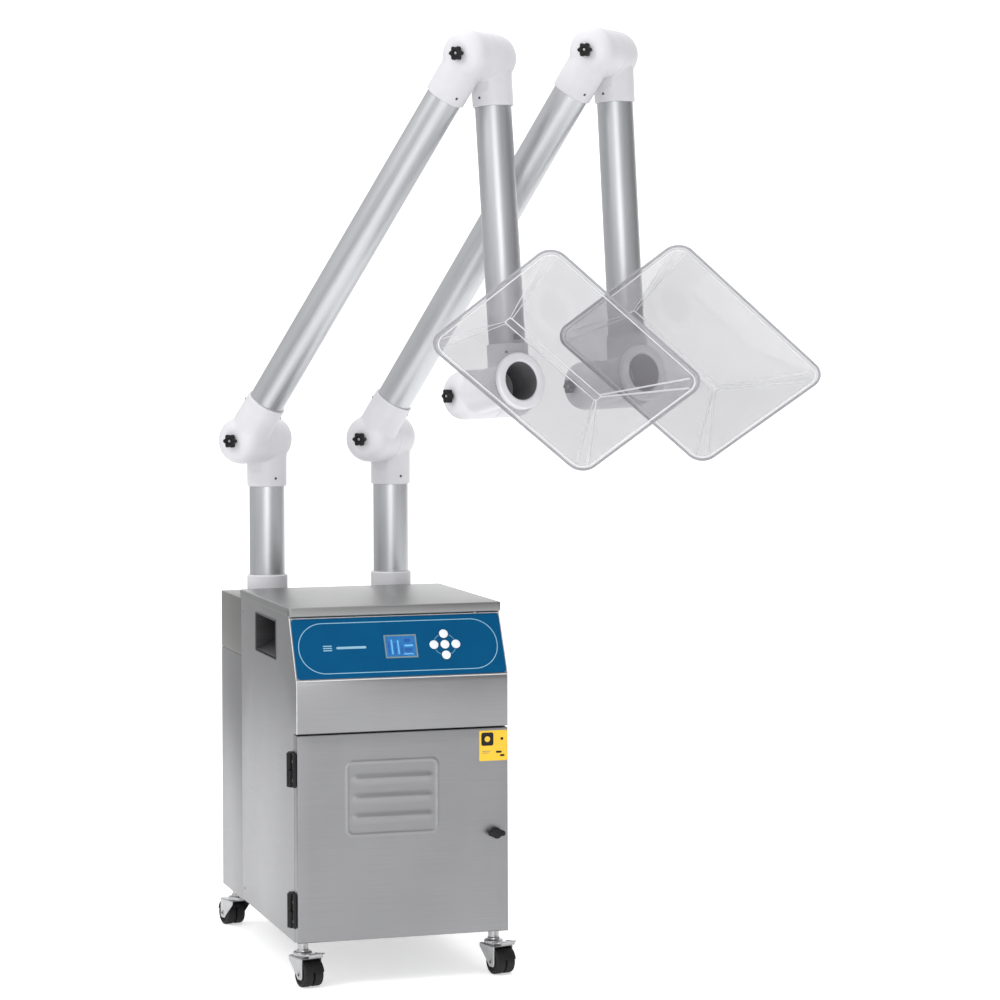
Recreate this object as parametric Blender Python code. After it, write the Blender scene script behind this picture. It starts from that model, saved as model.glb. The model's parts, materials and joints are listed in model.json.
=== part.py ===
"""Solder fume extractor: a stainless filter cabinet on castors with two jointed extraction arms.

Metres, +Z up, X to the right, -Y to the front. Everything hangs from one empty that puts the
bottom centre of the whole machine's bounding box at the world origin. Inside that empty X = 0 is
the cabinet's left side, Y = 0 its door face and Z = 0 the floor.
"""

import math

import bmesh
import bpy
from mathutils import Matrix, Vector

# --- driving dimensions ---------------------------------------------------------------------
CLEAR = 0.0004  # gap between touching pieces
FRAME_SHIFT = (-0.4998, -0.2232, 0.0)  # cabinet corner, seen from the bounding box's bottom centre

CABINET_WIDTH = 0.430
CABINET_DEPTH = 0.510
DUCT_REAR = 0.712
BODY_BOTTOM = 0.085
SHEET = 0.002
DOOR_TOP = 0.492
DOOR_THICKNESS = 0.022
SHELF_TOP = 0.4975
FASCIA_BOTTOM = 0.4955
FASCIA_BEND = 0.5970
FASCIA_TOP = 0.7157
FASCIA_SETBACK = 0.062
SHELL_TOP = 0.7195
LID_TOP = 0.7365
LID_FRONT = 0.056
DUCT_SPLIT = 0.597
DUCT_TOP = 0.717

HANDLE_Y = (0.180, 0.362)
HANDLE_Z = (0.624, 0.700)
HANDLE_DEPTH = 0.055

HINGE_AXIS = (-0.0085, 0.0225)
HINGE_HEIGHT = 0.066
HINGE_BOTTOMS = {"lower": 0.1163, "upper": 0.3913}
LATCH_CENTRE = (0.4015, 0.2844)

PANEL_MARGIN = 0.003
OVERLAY_THICKNESS = 0.001
OVERLAY_SPAN = (0.0045, 0.1305)  # along the sloped fascia
DISPLAY_CENTRE = (0.2183, 0.0670)
DISPLAY_SIZE = (0.066, 0.049)
BUTTON_CENTRE = (0.3083, 0.0675)
BUTTON_PITCH = 0.0225
BUTTON_RADIUS = 0.0090
BUTTON_TRAVEL = 0.0008

STEM_INSET = 0.020
STEM_Y = {"front": 0.040, "rear": 0.656}
CASTOR_YAW = {"front": math.radians(14), "rear": math.radians(194)}
CASTOR_TRAIL = 0.027
WHEEL_RADIUS = 0.025
WHEEL_WIDTH = 0.0185
WHEEL_GAP = 0.0030
FORK_TOP = 0.0570
FORK_SHEET = 0.0022

TUBE_RADIUS = 0.0375
TUBE_WALL = 0.0020
SOCKET_RADIUS = 0.0418
SOCKET_LENGTH = 0.100
SOCKET_OVERLAP = 0.034
DRUM_RADIUS = 0.0500
DRUM_WALL = 0.0035
DOME_LENGTH = 0.0430
ARM_SPACING = 0.0850  # between the axes of the two tubes that meet at a pivot
END_SPACING = 0.1040
COLLAR_TOP = 0.758
RISER_Y = 0.610
PIVOT_HEIGHT = 1.0465
LONG_REACH = 0.960
DROP_REACH = 0.6840
NOZZLE_REACH = 0.1840
KNOB_RADIUS = 0.0150
SIDES = 24

HOOD_LENGTH = 0.425
HOOD_WIDTH = 0.324
HOOD_DEPTH = 0.126
HOOD_CORNER = 0.028
HOOD_WALL = 0.0025
RIM_LIP = 0.007
RIDGE_ENDS = (-0.094, 0.166)
RIDGE_WIDTH = 0.012
RIDGE_OFFSET = -0.077
PORT_ALONG = 0.0635  # from the hood's rim edge up its port panel
PORT_ASIDE = -0.0068  # from the middle of the hood's length
PORT_RADIUS = 0.0425
RING_RADIUS = 0.0570
RING_BORE = 0.0385

ARMS = {
    "arm_1": {"x": 0.0790, "azimuth": 46.2, "tilt": 35.0, "lean": 3.7},
    "arm_2": {"x": 0.3510, "azimuth": 43.0, "tilt": 33.3, "lean": 3.0},
}
END_AZIMUTH = -70.25
NOZZLE_RISE = 6.7
HOOD_SPIN = 50.3

STEEL = ("brushed_steel", (0.42, 0.42, 0.43), 0.35, 1.0)
LID_STEEL = ("lid_steel", (0.58, 0.58, 0.58), 0.30, 1.0)
DUCT_STEEL = ("duct_steel", (0.33, 0.33, 0.32), 0.45, 1.0)
ZINC = ("zinc_plate", (0.50, 0.50, 0.50), 0.35, 1.0)
ALUMINIUM = ("satin_aluminium", (0.55, 0.55, 0.57), 0.38, 1.0)
WHITE_PLASTIC = ("white_plastic", (0.70, 0.69, 0.72), 0.45, 0.0)
BLACK_PLASTIC = ("black_plastic", (0.012, 0.012, 0.012), 0.45, 0.0)
BLACK_RUBBER = ("black_rubber", (0.020, 0.020, 0.020), 0.70, 0.0)
BLUE_FILM = ("blue_film", (0.0, 0.090, 0.230), 0.35, 0.0)
DISPLAY_BLUE = ("display_blue", (0.020, 0.240, 0.640), 0.20, 0.0)
BUTTON_WHITE = ("button_white", (0.80, 0.82, 0.84), 0.40, 0.0)
FILTER_WHITE = ("filter_card", (0.62, 0.60, 0.55), 0.85, 0.0)
MOTOR_GREY = ("motor_grey", (0.16, 0.16, 0.17), 0.50, 0.6)
CLEAR_PLASTIC = ("clear_plastic", (0.58, 0.57, 0.62), 0.12, 0.0)


# --- helpers ---------------------------------------------------------------------------------
def clear_scene():
    for thing in list(bpy.data.objects):
        bpy.data.objects.remove(thing, do_unlink=True)


def material_for(thing, finish):
    label, colour, roughness, metallic = finish
    material = bpy.data.materials.new(f"{thing.name}_{label}")
    material.use_nodes = True
    shader = material.node_tree.nodes["Principled BSDF"]
    shader.inputs["Base Color"].default_value = (*colour, 1.0)
    shader.inputs["Roughness"].default_value = roughness
    shader.inputs["Metallic"].default_value = metallic
    thing.data.materials.clear()
    thing.data.materials.append(material)


def new_object(name, bm, finish, parent, smooth=False):
    bmesh.ops.recalc_face_normals(bm, faces=bm.faces[:])
    mesh = bpy.data.meshes.new(name)
    bm.to_mesh(mesh)
    bm.free()
    thing = bpy.data.objects.new(name, mesh)
    bpy.context.collection.objects.link(thing)
    thing.parent = parent
    if finish:
        material_for(thing, finish)
    if smooth:
        mesh.shade_smooth()
        mesh.set_sharp_from_angle(angle=math.radians(35))
    return thing


def empty(name, parent, location=(0, 0, 0), turn=(0, 0, 0)):
    holder = bpy.data.objects.new(name, None)
    bpy.context.collection.objects.link(holder)
    holder.parent = parent
    holder.location = location
    holder.rotation_euler = turn
    return holder


def add_box(bm, low, high, matrix=None):
    made = bmesh.ops.create_cube(bm, size=1.0)["verts"]
    size = Vector(high) - Vector(low)
    middle = (Vector(high) + Vector(low)) / 2
    for vert in made:
        vert.co = Vector(a * b for a, b in zip(vert.co, size)) + middle
    if matrix:
        bmesh.ops.transform(bm, matrix=matrix, verts=made)
    return made


def box(name, low, high, finish, parent, bevel=0.0):
    bm = bmesh.new()
    add_box(bm, low, high)
    if bevel:
        bmesh.ops.bevel(bm, geom=bm.edges[:], offset=bevel, segments=1, affect="EDGES")
    return new_object(name, bm, finish, parent)


def prism(name, outline, depth, finish, parent, matrix=None):
    """A flat outline of (x, y) points in the local XY plane, extruded along +Z by depth."""
    bm = bmesh.new()
    face = bm.faces.new([bm.verts.new((x, y, 0.0)) for x, y in outline])
    grown = bmesh.ops.extrude_face_region(bm, geom=[face])["geom"]
    moved = [item for item in grown if isinstance(item, bmesh.types.BMVert)]
    bmesh.ops.translate(bm, vec=(0, 0, depth), verts=moved)
    if matrix:
        bmesh.ops.transform(bm, matrix=matrix, verts=bm.verts)
    return new_object(name, bm, finish, parent)


def turned(name, profile, finish, parent, sides=SIDES, matrix=None):
    """A closed solid of revolution about local Z from (radius, height) points, listed in order.

    A profile that starts and ends on the axis closes there; any other profile closes on itself,
    which makes a ring or a tube.
    """
    bm = bmesh.new()
    rings = []
    for radius, height in profile:
        if radius == 0.0:
            rings.append([bm.verts.new((0.0, 0.0, height))])
            continue
        angles = [math.tau * i / sides for i in range(sides)]
        rings.append([bm.verts.new((radius * math.cos(a), radius * math.sin(a), height)) for a in angles])
    pairs = list(zip(rings, rings[1:]))
    if profile[0][0] > 0.0:
        pairs.append((rings[-1], rings[0]))
    for lower, upper in pairs:
        for i in range(sides):
            j = (i + 1) % sides
            corners = [lower[i % len(lower)], lower[j % len(lower)], upper[j % len(upper)], upper[i % len(upper)]]
            bm.faces.new(list(dict.fromkeys(corners)))
    if matrix:
        bmesh.ops.transform(bm, matrix=matrix, verts=bm.verts)
    return new_object(name, bm, finish, parent, smooth=True)


def boolean(thing, other, operation):
    """Applies a Boolean with another object, which stays behind as a hidden wire guide."""
    other.display_type = "WIRE"
    other.hide_render = True
    change = thing.modifiers.new(f"{operation.lower()}_{other.name}", "BOOLEAN")
    change.operation = operation
    change.solver = "EXACT"
    change.object = other


def cutter_name(thing, what):
    return f"{what}_of_{thing.name}"


def cut_box(thing, what, low, high, parent=None):
    boolean(thing, box(cutter_name(thing, what), low, high, None, parent or thing.parent), "DIFFERENCE")


def along_y():
    """Turns the local Z of a turned solid to +Y."""
    return Matrix.Rotation(-math.pi / 2, 4, "X")


def rounded_rectangle(width, height, radius, steps=3):
    """Outline points, anticlockwise, of a rectangle centred on the origin."""
    points = []
    corners = [(1, 1, 0), (-1, 1, 90), (-1, -1, 180), (1, -1, 270)]
    for sx, sy, start in corners:
        cx = sx * (width / 2 - radius)
        cy = sy * (height / 2 - radius)
        for i in range(steps + 1):
            angle = math.radians(start + 90 * i / steps)
            points.append((cx + radius * math.cos(angle), cy + radius * math.sin(angle)))
    return points


# --- cabinet ---------------------------------------------------------------------------------
def side_profile_matrix(x_start):
    """Puts a prism drawn in (y, z) into the cabinet, growing along +X from x_start."""
    return Matrix(((0, 0, 1, x_start), (1, 0, 0, 0), (0, 1, 0, 0), (0, 0, 0, 1)))


def cabinet_shell(machine):
    behind = SHEET + CLEAR
    outline = [
        (DOOR_THICKNESS + CLEAR, BODY_BOTTOM),
        (CABINET_DEPTH, BODY_BOTTOM),
        (CABINET_DEPTH, SHELL_TOP),
        (FASCIA_SETBACK + behind, SHELL_TOP),
        (FASCIA_SETBACK + behind, FASCIA_TOP - 0.0008),
        (behind, FASCIA_BEND),
        (behind, FASCIA_BOTTOM),
        (DOOR_THICKNESS + CLEAR, FASCIA_BOTTOM),
    ]
    shell = prism("cabinet_shell", outline, CABINET_WIDTH, STEEL, machine, side_profile_matrix(0.0))
    inner = (SHEET, CABINET_WIDTH - SHEET)
    back = CABINET_DEPTH - SHEET
    lip_back = DOOR_THICKNESS + CLEAR + SHEET
    cut_box(shell, "filter_chamber", (inner[0], lip_back, BODY_BOTTOM + SHEET), (inner[1], back, SHELF_TOP - 0.004))
    cut_box(shell, "door_aperture", (0.020, 0.0, 0.105), (CABINET_WIDTH - 0.020, 0.030, 0.475))
    cut_box(shell, "machine_chamber", (inner[0], -0.010, SHELF_TOP), (inner[1], back, SHELL_TOP + 0.010))
    cut_box(shell, "dirty_air_way", (0.115, back - 0.010, 0.110), (0.315, CABINET_DEPTH + 0.010, 0.180))
    cut_box(shell, "clean_air_way", (0.150, 0.220, SHELF_TOP - 0.010), (0.280, 0.350, SHELF_TOP + 0.010))
    for side, low_x in (("left", -0.010), ("right", CABINET_WIDTH - 0.010)):
        low = (low_x, HANDLE_Y[0], HANDLE_Z[0])
        high = (low_x + 0.020, HANDLE_Y[1], HANDLE_Z[1])
        cut_box(shell, f"{side}_handle_hole", low, high)


def handle_cup(machine, side):
    """A pressed recess with a sloped floor, set into the hole in the cabinet's side."""
    y0, y1 = HANDLE_Y[0] + CLEAR, HANDLE_Y[1] - CLEAR
    z0, z1 = HANDLE_Z[0] + CLEAR, HANDLE_Z[1] - CLEAR
    wall = 0.0016
    outer = [(0.0, z0), (HANDLE_DEPTH, z0 + 0.030), (HANDLE_DEPTH, z1), (0.0, z1)]
    inner = [
        (-0.010, z0 + wall - 0.005),
        (HANDLE_DEPTH - wall, z0 + 0.030 + wall),
        (HANDLE_DEPTH - wall, z1 - wall),
        (-0.010, z1 - wall),
    ]
    grow = Matrix(((1, 0, 0, 0), (0, 0, 1, y0), (0, 1, 0, 0), (0, 0, 0, 1)))
    grow_in = Matrix(((1, 0, 0, 0), (0, 0, 1, y0 + wall), (0, 1, 0, 0), (0, 0, 0, 1)))
    if side == "right":
        flip = Matrix.Translation((CABINET_WIDTH, 0, 0)) @ Matrix.Scale(-1, 4, (1, 0, 0))
        grow = flip @ grow
        grow_in = flip @ grow_in
    cup = prism(f"handle_cup_{side}", outer, y1 - y0, STEEL, machine, grow)
    hollow = prism(cutter_name(cup, "hollow"), inner, y1 - y0 - 2 * wall, None, machine, grow_in)
    boolean(cup, hollow, "DIFFERENCE")


def front_fascia(machine):
    outer = [(0.0, FASCIA_BOTTOM), (0.0, FASCIA_BEND), (FASCIA_SETBACK, FASCIA_TOP)]
    inner = [(y + SHEET, z) for y, z in reversed(outer)]
    outline = outer + inner
    fascia = prism("front_fascia", outline, CABINET_WIDTH, STEEL, machine, side_profile_matrix(0.0))
    slope = fascia_matrix()
    width, height = DISPLAY_SIZE
    window = add_guide_box(fascia, "window", DISPLAY_CENTRE, (width + 0.002, height + 0.002), slope, machine)
    boolean(fascia, window, "DIFFERENCE")
    for name, centre in button_centres().items():
        bore = turned(
            cutter_name(fascia, f"{name}_bore"),
            [(0.0, -0.010), (0.0065, -0.010), (0.0065, 0.010), (0.0, 0.010)],
            None,
            machine,
            12,
            slope @ Matrix.Translation((*centre, 0.0)),
        )
        boolean(fascia, bore, "DIFFERENCE")


def fascia_matrix():
    """Local X to the right, local Y up the slope from the bend, local Z out of the fascia."""
    rise = Vector((0.0, FASCIA_SETBACK, FASCIA_TOP - FASCIA_BEND)).normalized()
    out = Vector((1.0, 0.0, 0.0)).cross(rise)
    turn = Matrix((Vector((1.0, 0.0, 0.0)), rise, out)).transposed().to_4x4()
    return Matrix.Translation((0.0, 0.0, FASCIA_BEND)) @ turn


def add_guide_box(thing, what, centre, size, matrix, parent, depth=0.010):
    bm = bmesh.new()
    low = (centre[0] - size[0] / 2, centre[1] - size[1] / 2, -depth)
    high = (centre[0] + size[0] / 2, centre[1] + size[1] / 2, depth)
    add_box(bm, low, high, matrix)
    return new_object(cutter_name(thing, what), bm, None, parent)


def button_centres():
    x, y = BUTTON_CENTRE
    return {
        "up": (x, y + BUTTON_PITCH),
        "down": (x, y - BUTTON_PITCH),
        "left": (x - BUTTON_PITCH, y),
        "right": (x + BUTTON_PITCH, y),
        "centre": (x, y),
    }


def control_overlay(machine):
    low, high = OVERLAY_SPAN
    width = CABINET_WIDTH - 2 * PANEL_MARGIN
    outline = rounded_rectangle(width, high - low, 0.008)
    lift = Matrix.Translation((CABINET_WIDTH / 2, (low + high) / 2, CLEAR))
    overlay = prism("control_overlay", outline, OVERLAY_THICKNESS, BLUE_FILM, machine, fascia_matrix() @ lift)
    slope = fascia_matrix()
    size = (DISPLAY_SIZE[0] + 2 * CLEAR, DISPLAY_SIZE[1] + 2 * CLEAR)
    boolean(overlay, add_guide_box(overlay, "window", DISPLAY_CENTRE, size, slope, machine), "DIFFERENCE")
    for name, centre in button_centres().items():
        hole = turned(
            cutter_name(overlay, f"{name}_hole"),
            [(0.0, -0.010), (BUTTON_RADIUS + CLEAR, -0.010), (BUTTON_RADIUS + CLEAR, 0.010), (0.0, 0.010)],
            None,
            machine,
            20,
            slope @ Matrix.Translation((*centre, 0.0)),
        )
        boolean(overlay, hole, "DIFFERENCE")


def display_module(machine):
    bm = bmesh.new()
    width, height = DISPLAY_SIZE
    x, y = DISPLAY_CENTRE
    front = (x - width / 2, y - height / 2, -0.006)
    add_box(bm, front, (x + width / 2, y + height / 2, 0.0012), fascia_matrix())
    new_object("display_module", bm, DISPLAY_BLUE, machine)


def buttons(machine):
    """Domed key caps standing in the overlay, each on a thin stem through the fascia."""
    rest = CLEAR + BUTTON_TRAVEL
    for name, centre in button_centres().items():
        holder = empty(f"button_{name}_seat", machine)
        holder.matrix_local = fascia_matrix() @ Matrix.Translation((*centre, 0.0))
        profile = [
            (0.0, -0.006),
            (0.0050, -0.006),
            (0.0050, rest),
            (BUTTON_RADIUS, rest),
            (BUTTON_RADIUS, rest + 0.0012),
            (BUTTON_RADIUS - 0.0012, rest + 0.0018),
            (0.0, rest + 0.0018),
        ]
        turned(f"button_{name}", profile, BUTTON_WHITE, holder, 20)


def top_lid(machine):
    low = (-0.003, LID_FRONT, SHELL_TOP + CLEAR)
    high = (CABINET_WIDTH + 0.003, CABINET_DEPTH - 0.001, LID_TOP)
    lid = box("top_lid", low, high, LID_STEEL, machine, bevel=0.003)
    cut_box(
        lid,
        "underside",
        (0.004, LID_FRONT + 0.008, SHELL_TOP - 0.010),
        (CABINET_WIDTH - 0.004, CABINET_DEPTH - 0.010, LID_TOP - 0.0035),
    )


def rear_housing(machine):
    """The duct box that the arms stand on, and the cover below it that brings air to the filter."""
    front = CABINET_DEPTH + CLEAR
    duct = box("rear_duct_box", (0.0, front, DUCT_SPLIT), (CABINET_WIDTH, DUCT_REAR, DUCT_TOP), DUCT_STEEL, machine)
    inside = (SHEET, front + SHEET, DUCT_SPLIT - 0.010)
    cut_box(duct, "air_space", inside, (CABINET_WIDTH - SHEET, DUCT_REAR - SHEET, DUCT_TOP - SHEET))
    for name, arm in ARMS.items():
        hole = turned(
            cutter_name(duct, f"{name}_hole"),
            [(0.0, DUCT_TOP - 0.010), (0.034, DUCT_TOP - 0.010), (0.034, DUCT_TOP + 0.010), (0.0, DUCT_TOP + 0.010)],
            None,
            machine,
            16,
            Matrix.Translation((arm["x"], RISER_Y, 0.0)),
        )
        boolean(duct, hole, "DIFFERENCE")
    cover = box(
        "rear_cover",
        (0.0, front, BODY_BOTTOM - 0.003),
        (CABINET_WIDTH, DUCT_REAR, DUCT_SPLIT - CLEAR),
        STEEL,
        machine,
    )
    inside = (SHEET, front + SHEET, BODY_BOTTOM - 0.003 + SHEET)
    cut_box(cover, "air_space", inside, (CABINET_WIDTH - SHEET, DUCT_REAR - SHEET, DUCT_SPLIT + 0.010))
    cut_box(cover, "dirty_air_way", (0.115, front - 0.010, 0.110), (0.315, front + 0.010, 0.180))


def filter_and_blower(machine):
    box("filter_cartridge", (0.035, 0.060, 0.120), (0.395, 0.480, 0.470), FILTER_WHITE, machine, bevel=0.004)
    centre = Matrix.Translation((CABINET_WIDTH / 2, 0.290, SHELF_TOP + CLEAR))
    profile = [
        (0.0, 0.158),
        (0.050, 0.158),
        (0.060, 0.150),
        (0.060, 0.090),
        (0.125, 0.085),
        (0.125, 0.0),
        (0.045, 0.0),
        (0.045, 0.003),
        (0.122, 0.003),
        (0.122, 0.082),
        (0.0, 0.082),
    ]
    turned("blower", profile, MOTOR_GREY, machine, 24, centre)


# --- door ------------------------------------------------------------------------------------
def door(machine):
    hinge_line = empty("door_hinge_line", machine, (*HINGE_AXIS, 0.0))
    ax, ay = HINGE_AXIS
    low = (0.001 - ax, -ay, BODY_BOTTOM + 0.002)
    high = (CABINET_WIDTH - 0.001 - ax, DOOR_THICKNESS - ay, DOOR_TOP)
    leaf = box("door", low, high, STEEL, hinge_line)
    inside_low = (low[0] + SHEET, low[1] + SHEET, low[2] + SHEET)
    inside_high = (high[0] - SHEET, high[1] + 0.010, high[2] - SHEET)
    cut_box(leaf, "pan", inside_low, inside_high)
    x, z = LATCH_CENTRE
    place = Matrix.Translation((x - ax, -ay, z)) @ along_y()
    bore = [(0.0, -0.010), (0.0060, -0.010), (0.0060, 0.030), (0.0, 0.030)]
    hole = turned(cutter_name(leaf, "latch_hole"), bore, None, hinge_line, 12, place)
    boolean(leaf, hole, "DIFFERENCE")
    for level, bottom in HINGE_BOTTOMS.items():
        hinge_leaf(f"hinge_wing_{level}", hinge_line, bottom, -1)
    return hinge_line


def hinge_leaf(name, parent, bottom, side):
    """One half of a hinge about local (0, 0). side +1 is the cabinet's half, -1 the door's."""
    middle = bottom + HINGE_HEIGHT / 2
    knuckle = (middle + CLEAR / 2, bottom + HINGE_HEIGHT) if side > 0 else (bottom, middle - CLEAR / 2)
    x0, x1 = 0.0020, -HINGE_AXIS[0] - CLEAR
    near, far = (0.0072, 0.0250) if side > 0 else (-0.0072, -0.0220)
    plate_y = (min(near, far), max(near, far))
    leaf = box(name, (x0, plate_y[0], bottom), (x1, plate_y[1], bottom + HINGE_HEIGHT), BLACK_PLASTIC, parent)
    web_y = (min(0.0, near + side * 0.004), max(0.0, near + side * 0.004))
    web = box(cutter_name(leaf, "web"), (-0.0030, web_y[0], knuckle[0]), (x1 - 0.0008, web_y[1], knuckle[1]), None, parent)
    boolean(leaf, web, "UNION")
    profile = [(0.0, knuckle[0]), (0.0062, knuckle[0]), (0.0062, knuckle[1]), (0.0, knuckle[1])]
    boolean(leaf, turned(cutter_name(leaf, "knuckle"), profile, None, parent, 12), "UNION")


def latch_knob(hinge_line):
    """A quarter-turn wing knob on a shaft through the door."""
    x, z = LATCH_CENTRE
    seat = empty("latch_axis", hinge_line, (x - HINGE_AXIS[0], -HINGE_AXIS[1], z))
    profile = [
        (0.0, -0.021),
        (0.0090, -0.021),
        (0.0105, -0.018),
        (0.0105, -CLEAR),
        (0.0050, -CLEAR),
        (0.0050, 0.016),
        (0.0, 0.016),
    ]
    knob = turned("latch_knob", profile, BLACK_PLASTIC, seat, 20, along_y())
    wing = box(cutter_name(knob, "wing"), (-0.0165, -0.0200, -0.0055), (0.0165, -0.0070, 0.0055), None, seat, 0.002)
    boolean(knob, wing, "UNION")


# --- castors ---------------------------------------------------------------------------------
def castor(machine, name, x, row):
    """A castor with two treads in a bent sheet fork. It trails towards local -Y."""
    stem = empty(f"{name}_stem_axis", machine, (x, STEM_Y[row], 0.0), (0, 0, CASTOR_YAW[row]))
    top = (BODY_BOTTOM if row == "front" else BODY_BOTTOM - 0.003) - CLEAR
    profile = [(0.0, top), (0.0110, top), (0.0110, 0.0660), (0.0190, 0.0640), (0.0190, 0.0560), (0.0, 0.0560)]
    fork = turned(f"{name}_fork", profile, ZINC, stem, 16)
    inside = WHEEL_GAP / 2 + WHEEL_WIDTH + CLEAR
    outside = inside + FORK_SHEET
    cheek = [
        (0.0190, FORK_TOP),
        (0.0190, FORK_TOP - 0.0080),
        (-0.0150, 0.0200),
        (-0.0200, 0.0145),
        (-0.0340, 0.0145),
        (-0.0375, 0.0190),
        (-0.0375, FORK_TOP),
    ]
    bent = prism(cutter_name(fork, "cheeks"), cheek, 2 * outside, None, stem, side_profile_matrix(-outside))
    boolean(fork, bent, "UNION")
    cut_box(fork, "wheel_space", (-inside, -0.080, -0.010), (inside, 0.060, FORK_TOP - FORK_SHEET))
    across = Matrix.Translation((0.0, -CASTOR_TRAIL, WHEEL_RADIUS)) @ Matrix.Rotation(math.pi / 2, 4, "Y")
    bore = [(0.0, -0.030), (0.0042, -0.030), (0.0042, 0.030), (0.0, 0.030)]
    boolean(fork, turned(cutter_name(fork, "axle_bore"), bore, None, stem, 12, across), "DIFFERENCE")
    axle = empty(f"{name}_axle", stem, (0.0, -CASTOR_TRAIL, WHEEL_RADIUS))
    wheels(f"{name}_wheels", axle)
    if row == "front":
        brake_pedal(f"{name}_brake", stem)


def wheels(name, axle):
    """Two treads joined by the axle that turns with them and ends outside the fork."""
    inner = WHEEL_GAP / 2
    outer = inner + WHEEL_WIDTH
    axle_end = outer + CLEAR + FORK_SHEET + 0.0014
    rim = 0.0025
    half = [
        (0.0036, inner),
        (WHEEL_RADIUS - rim, inner),
        (WHEEL_RADIUS, inner + rim),
        (WHEEL_RADIUS, outer - rim),
        (WHEEL_RADIUS - rim, outer),
        (0.0130, outer),
        (0.0115, outer - 0.003),
        (0.0036, outer - 0.003),
        (0.0036, axle_end),
        (0.0, axle_end),
    ]
    mirrored = [(radius, -height) for radius, height in reversed(half)]
    turned(name, mirrored + half, BLACK_RUBBER, axle, 24, Matrix.Rotation(math.pi / 2, 4, "Y"))


def brake_pedal(name, stem):
    """A foot plate that rocks on the front of the castor's cap."""
    pivot = empty(f"{name}_axis", stem, (0.0, -CASTOR_TRAIL - 0.010, 0.0625))
    outline = [
        (-0.0210, 0.0100),
        (-0.0210, -0.0040),
        (-0.0230, -0.0150),
        (-0.0150, -0.0200),
        (0.0150, -0.0200),
        (0.0230, -0.0150),
        (0.0210, -0.0040),
        (0.0210, 0.0100),
    ]
    lift = Matrix.Rotation(math.radians(-8), 4, "X")
    prism(name, outline, 0.0030, ZINC, pivot, lift)


# --- arms ------------------------------------------------------------------------------------
def tube(name, bottom, top, parent, place=None):
    inner = TUBE_RADIUS - TUBE_WALL
    profile = [(TUBE_RADIUS, bottom), (TUBE_RADIUS, top), (inner, top), (inner, bottom)]
    return turned(name, profile, ALUMINIUM, parent, SIDES, place)


def elbow_half(name, parent, open_side, half_spacing, turn=0.0, nozzle=False):
    """Half of a two-part ball elbow. Its socket runs along local +Z, its pivot along local Y.

    open_side +1 or -1 says on which side, along Y, it meets the other half; the other end is domed.
    turn swings the socket about the pivot.
    """
    mouth = half_spacing - CLEAR / 2
    dome = DOME_LENGTH
    wall = DRUM_WALL
    outer = [(0.0, -dome), (0.026, -dome), (0.040, -dome + 0.006), (0.0475, -dome + 0.016), (DRUM_RADIUS, -dome + 0.030)]
    drum_profile = outer + [(DRUM_RADIUS, mouth), (0.0, mouth)]
    core_profile = [
        (0.0, -dome + wall),
        (0.025, -dome + wall),
        (0.037, -dome + wall + 0.0055),
        (DRUM_RADIUS - wall, -dome + 0.031),
        (DRUM_RADIUS - wall, mouth + 0.010),
        (0.0, mouth + 0.010),
    ]
    facing = Matrix.Rotation(-open_side * math.pi / 2, 4, "X")
    swing = Matrix.Rotation(turn, 4, "Y")
    part = turned(name, drum_profile, WHITE_PLASTIC, parent, SIDES, facing)
    bore = TUBE_RADIUS + CLEAR
    floor = SOCKET_LENGTH - SOCKET_OVERLAP
    socket = [(0.0, 0.0), (SOCKET_RADIUS, 0.0), (SOCKET_RADIUS, SOCKET_LENGTH), (0.0, SOCKET_LENGTH)]
    way = [(0.0, 0.0), (0.0345, 0.0), (0.0345, floor), (bore, floor), (bore, SOCKET_LENGTH + 0.01), (0.0, SOCKET_LENGTH + 0.01)]
    if nozzle:
        socket = nozzle_outside()
        way = [(0.0, 0.0), (0.0345, 0.0), (RING_BORE, 0.110), (RING_BORE, NOZZLE_REACH + 0.01), (0.0, NOZZLE_REACH + 0.01)]
    half_turn = Matrix.Rotation(math.pi / SIDES, 4, "Z")
    boolean(part, turned(cutter_name(part, "socket"), socket, None, parent, SIDES, swing @ half_turn), "UNION")
    boolean(part, turned(cutter_name(part, "drum_space"), core_profile, None, parent, SIDES, facing), "DIFFERENCE")
    boolean(part, turned(cutter_name(part, "air_way"), way, None, parent, SIDES, swing @ half_turn), "DIFFERENCE")
    return part


def nozzle_outside():
    """The outside of the end nozzle: a shoulder behind the hood's panel and a ring in front."""
    panel_back = NOZZLE_REACH - 0.012 - HOOD_WALL
    return [
        (0.0, 0.0),
        (SOCKET_RADIUS, 0.0),
        (SOCKET_RADIUS, panel_back - 0.0060),
        (0.0490, panel_back - 0.0060),
        (0.0490, panel_back - CLEAR),
        (PORT_RADIUS - CLEAR, panel_back - CLEAR),
        (PORT_RADIUS - CLEAR, NOZZLE_REACH - 0.012 + CLEAR),
        (RING_RADIUS, NOZZLE_REACH - 0.012 + CLEAR),
        (RING_RADIUS, NOZZLE_REACH),
        (0.0, NOZZLE_REACH),
    ]


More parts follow.
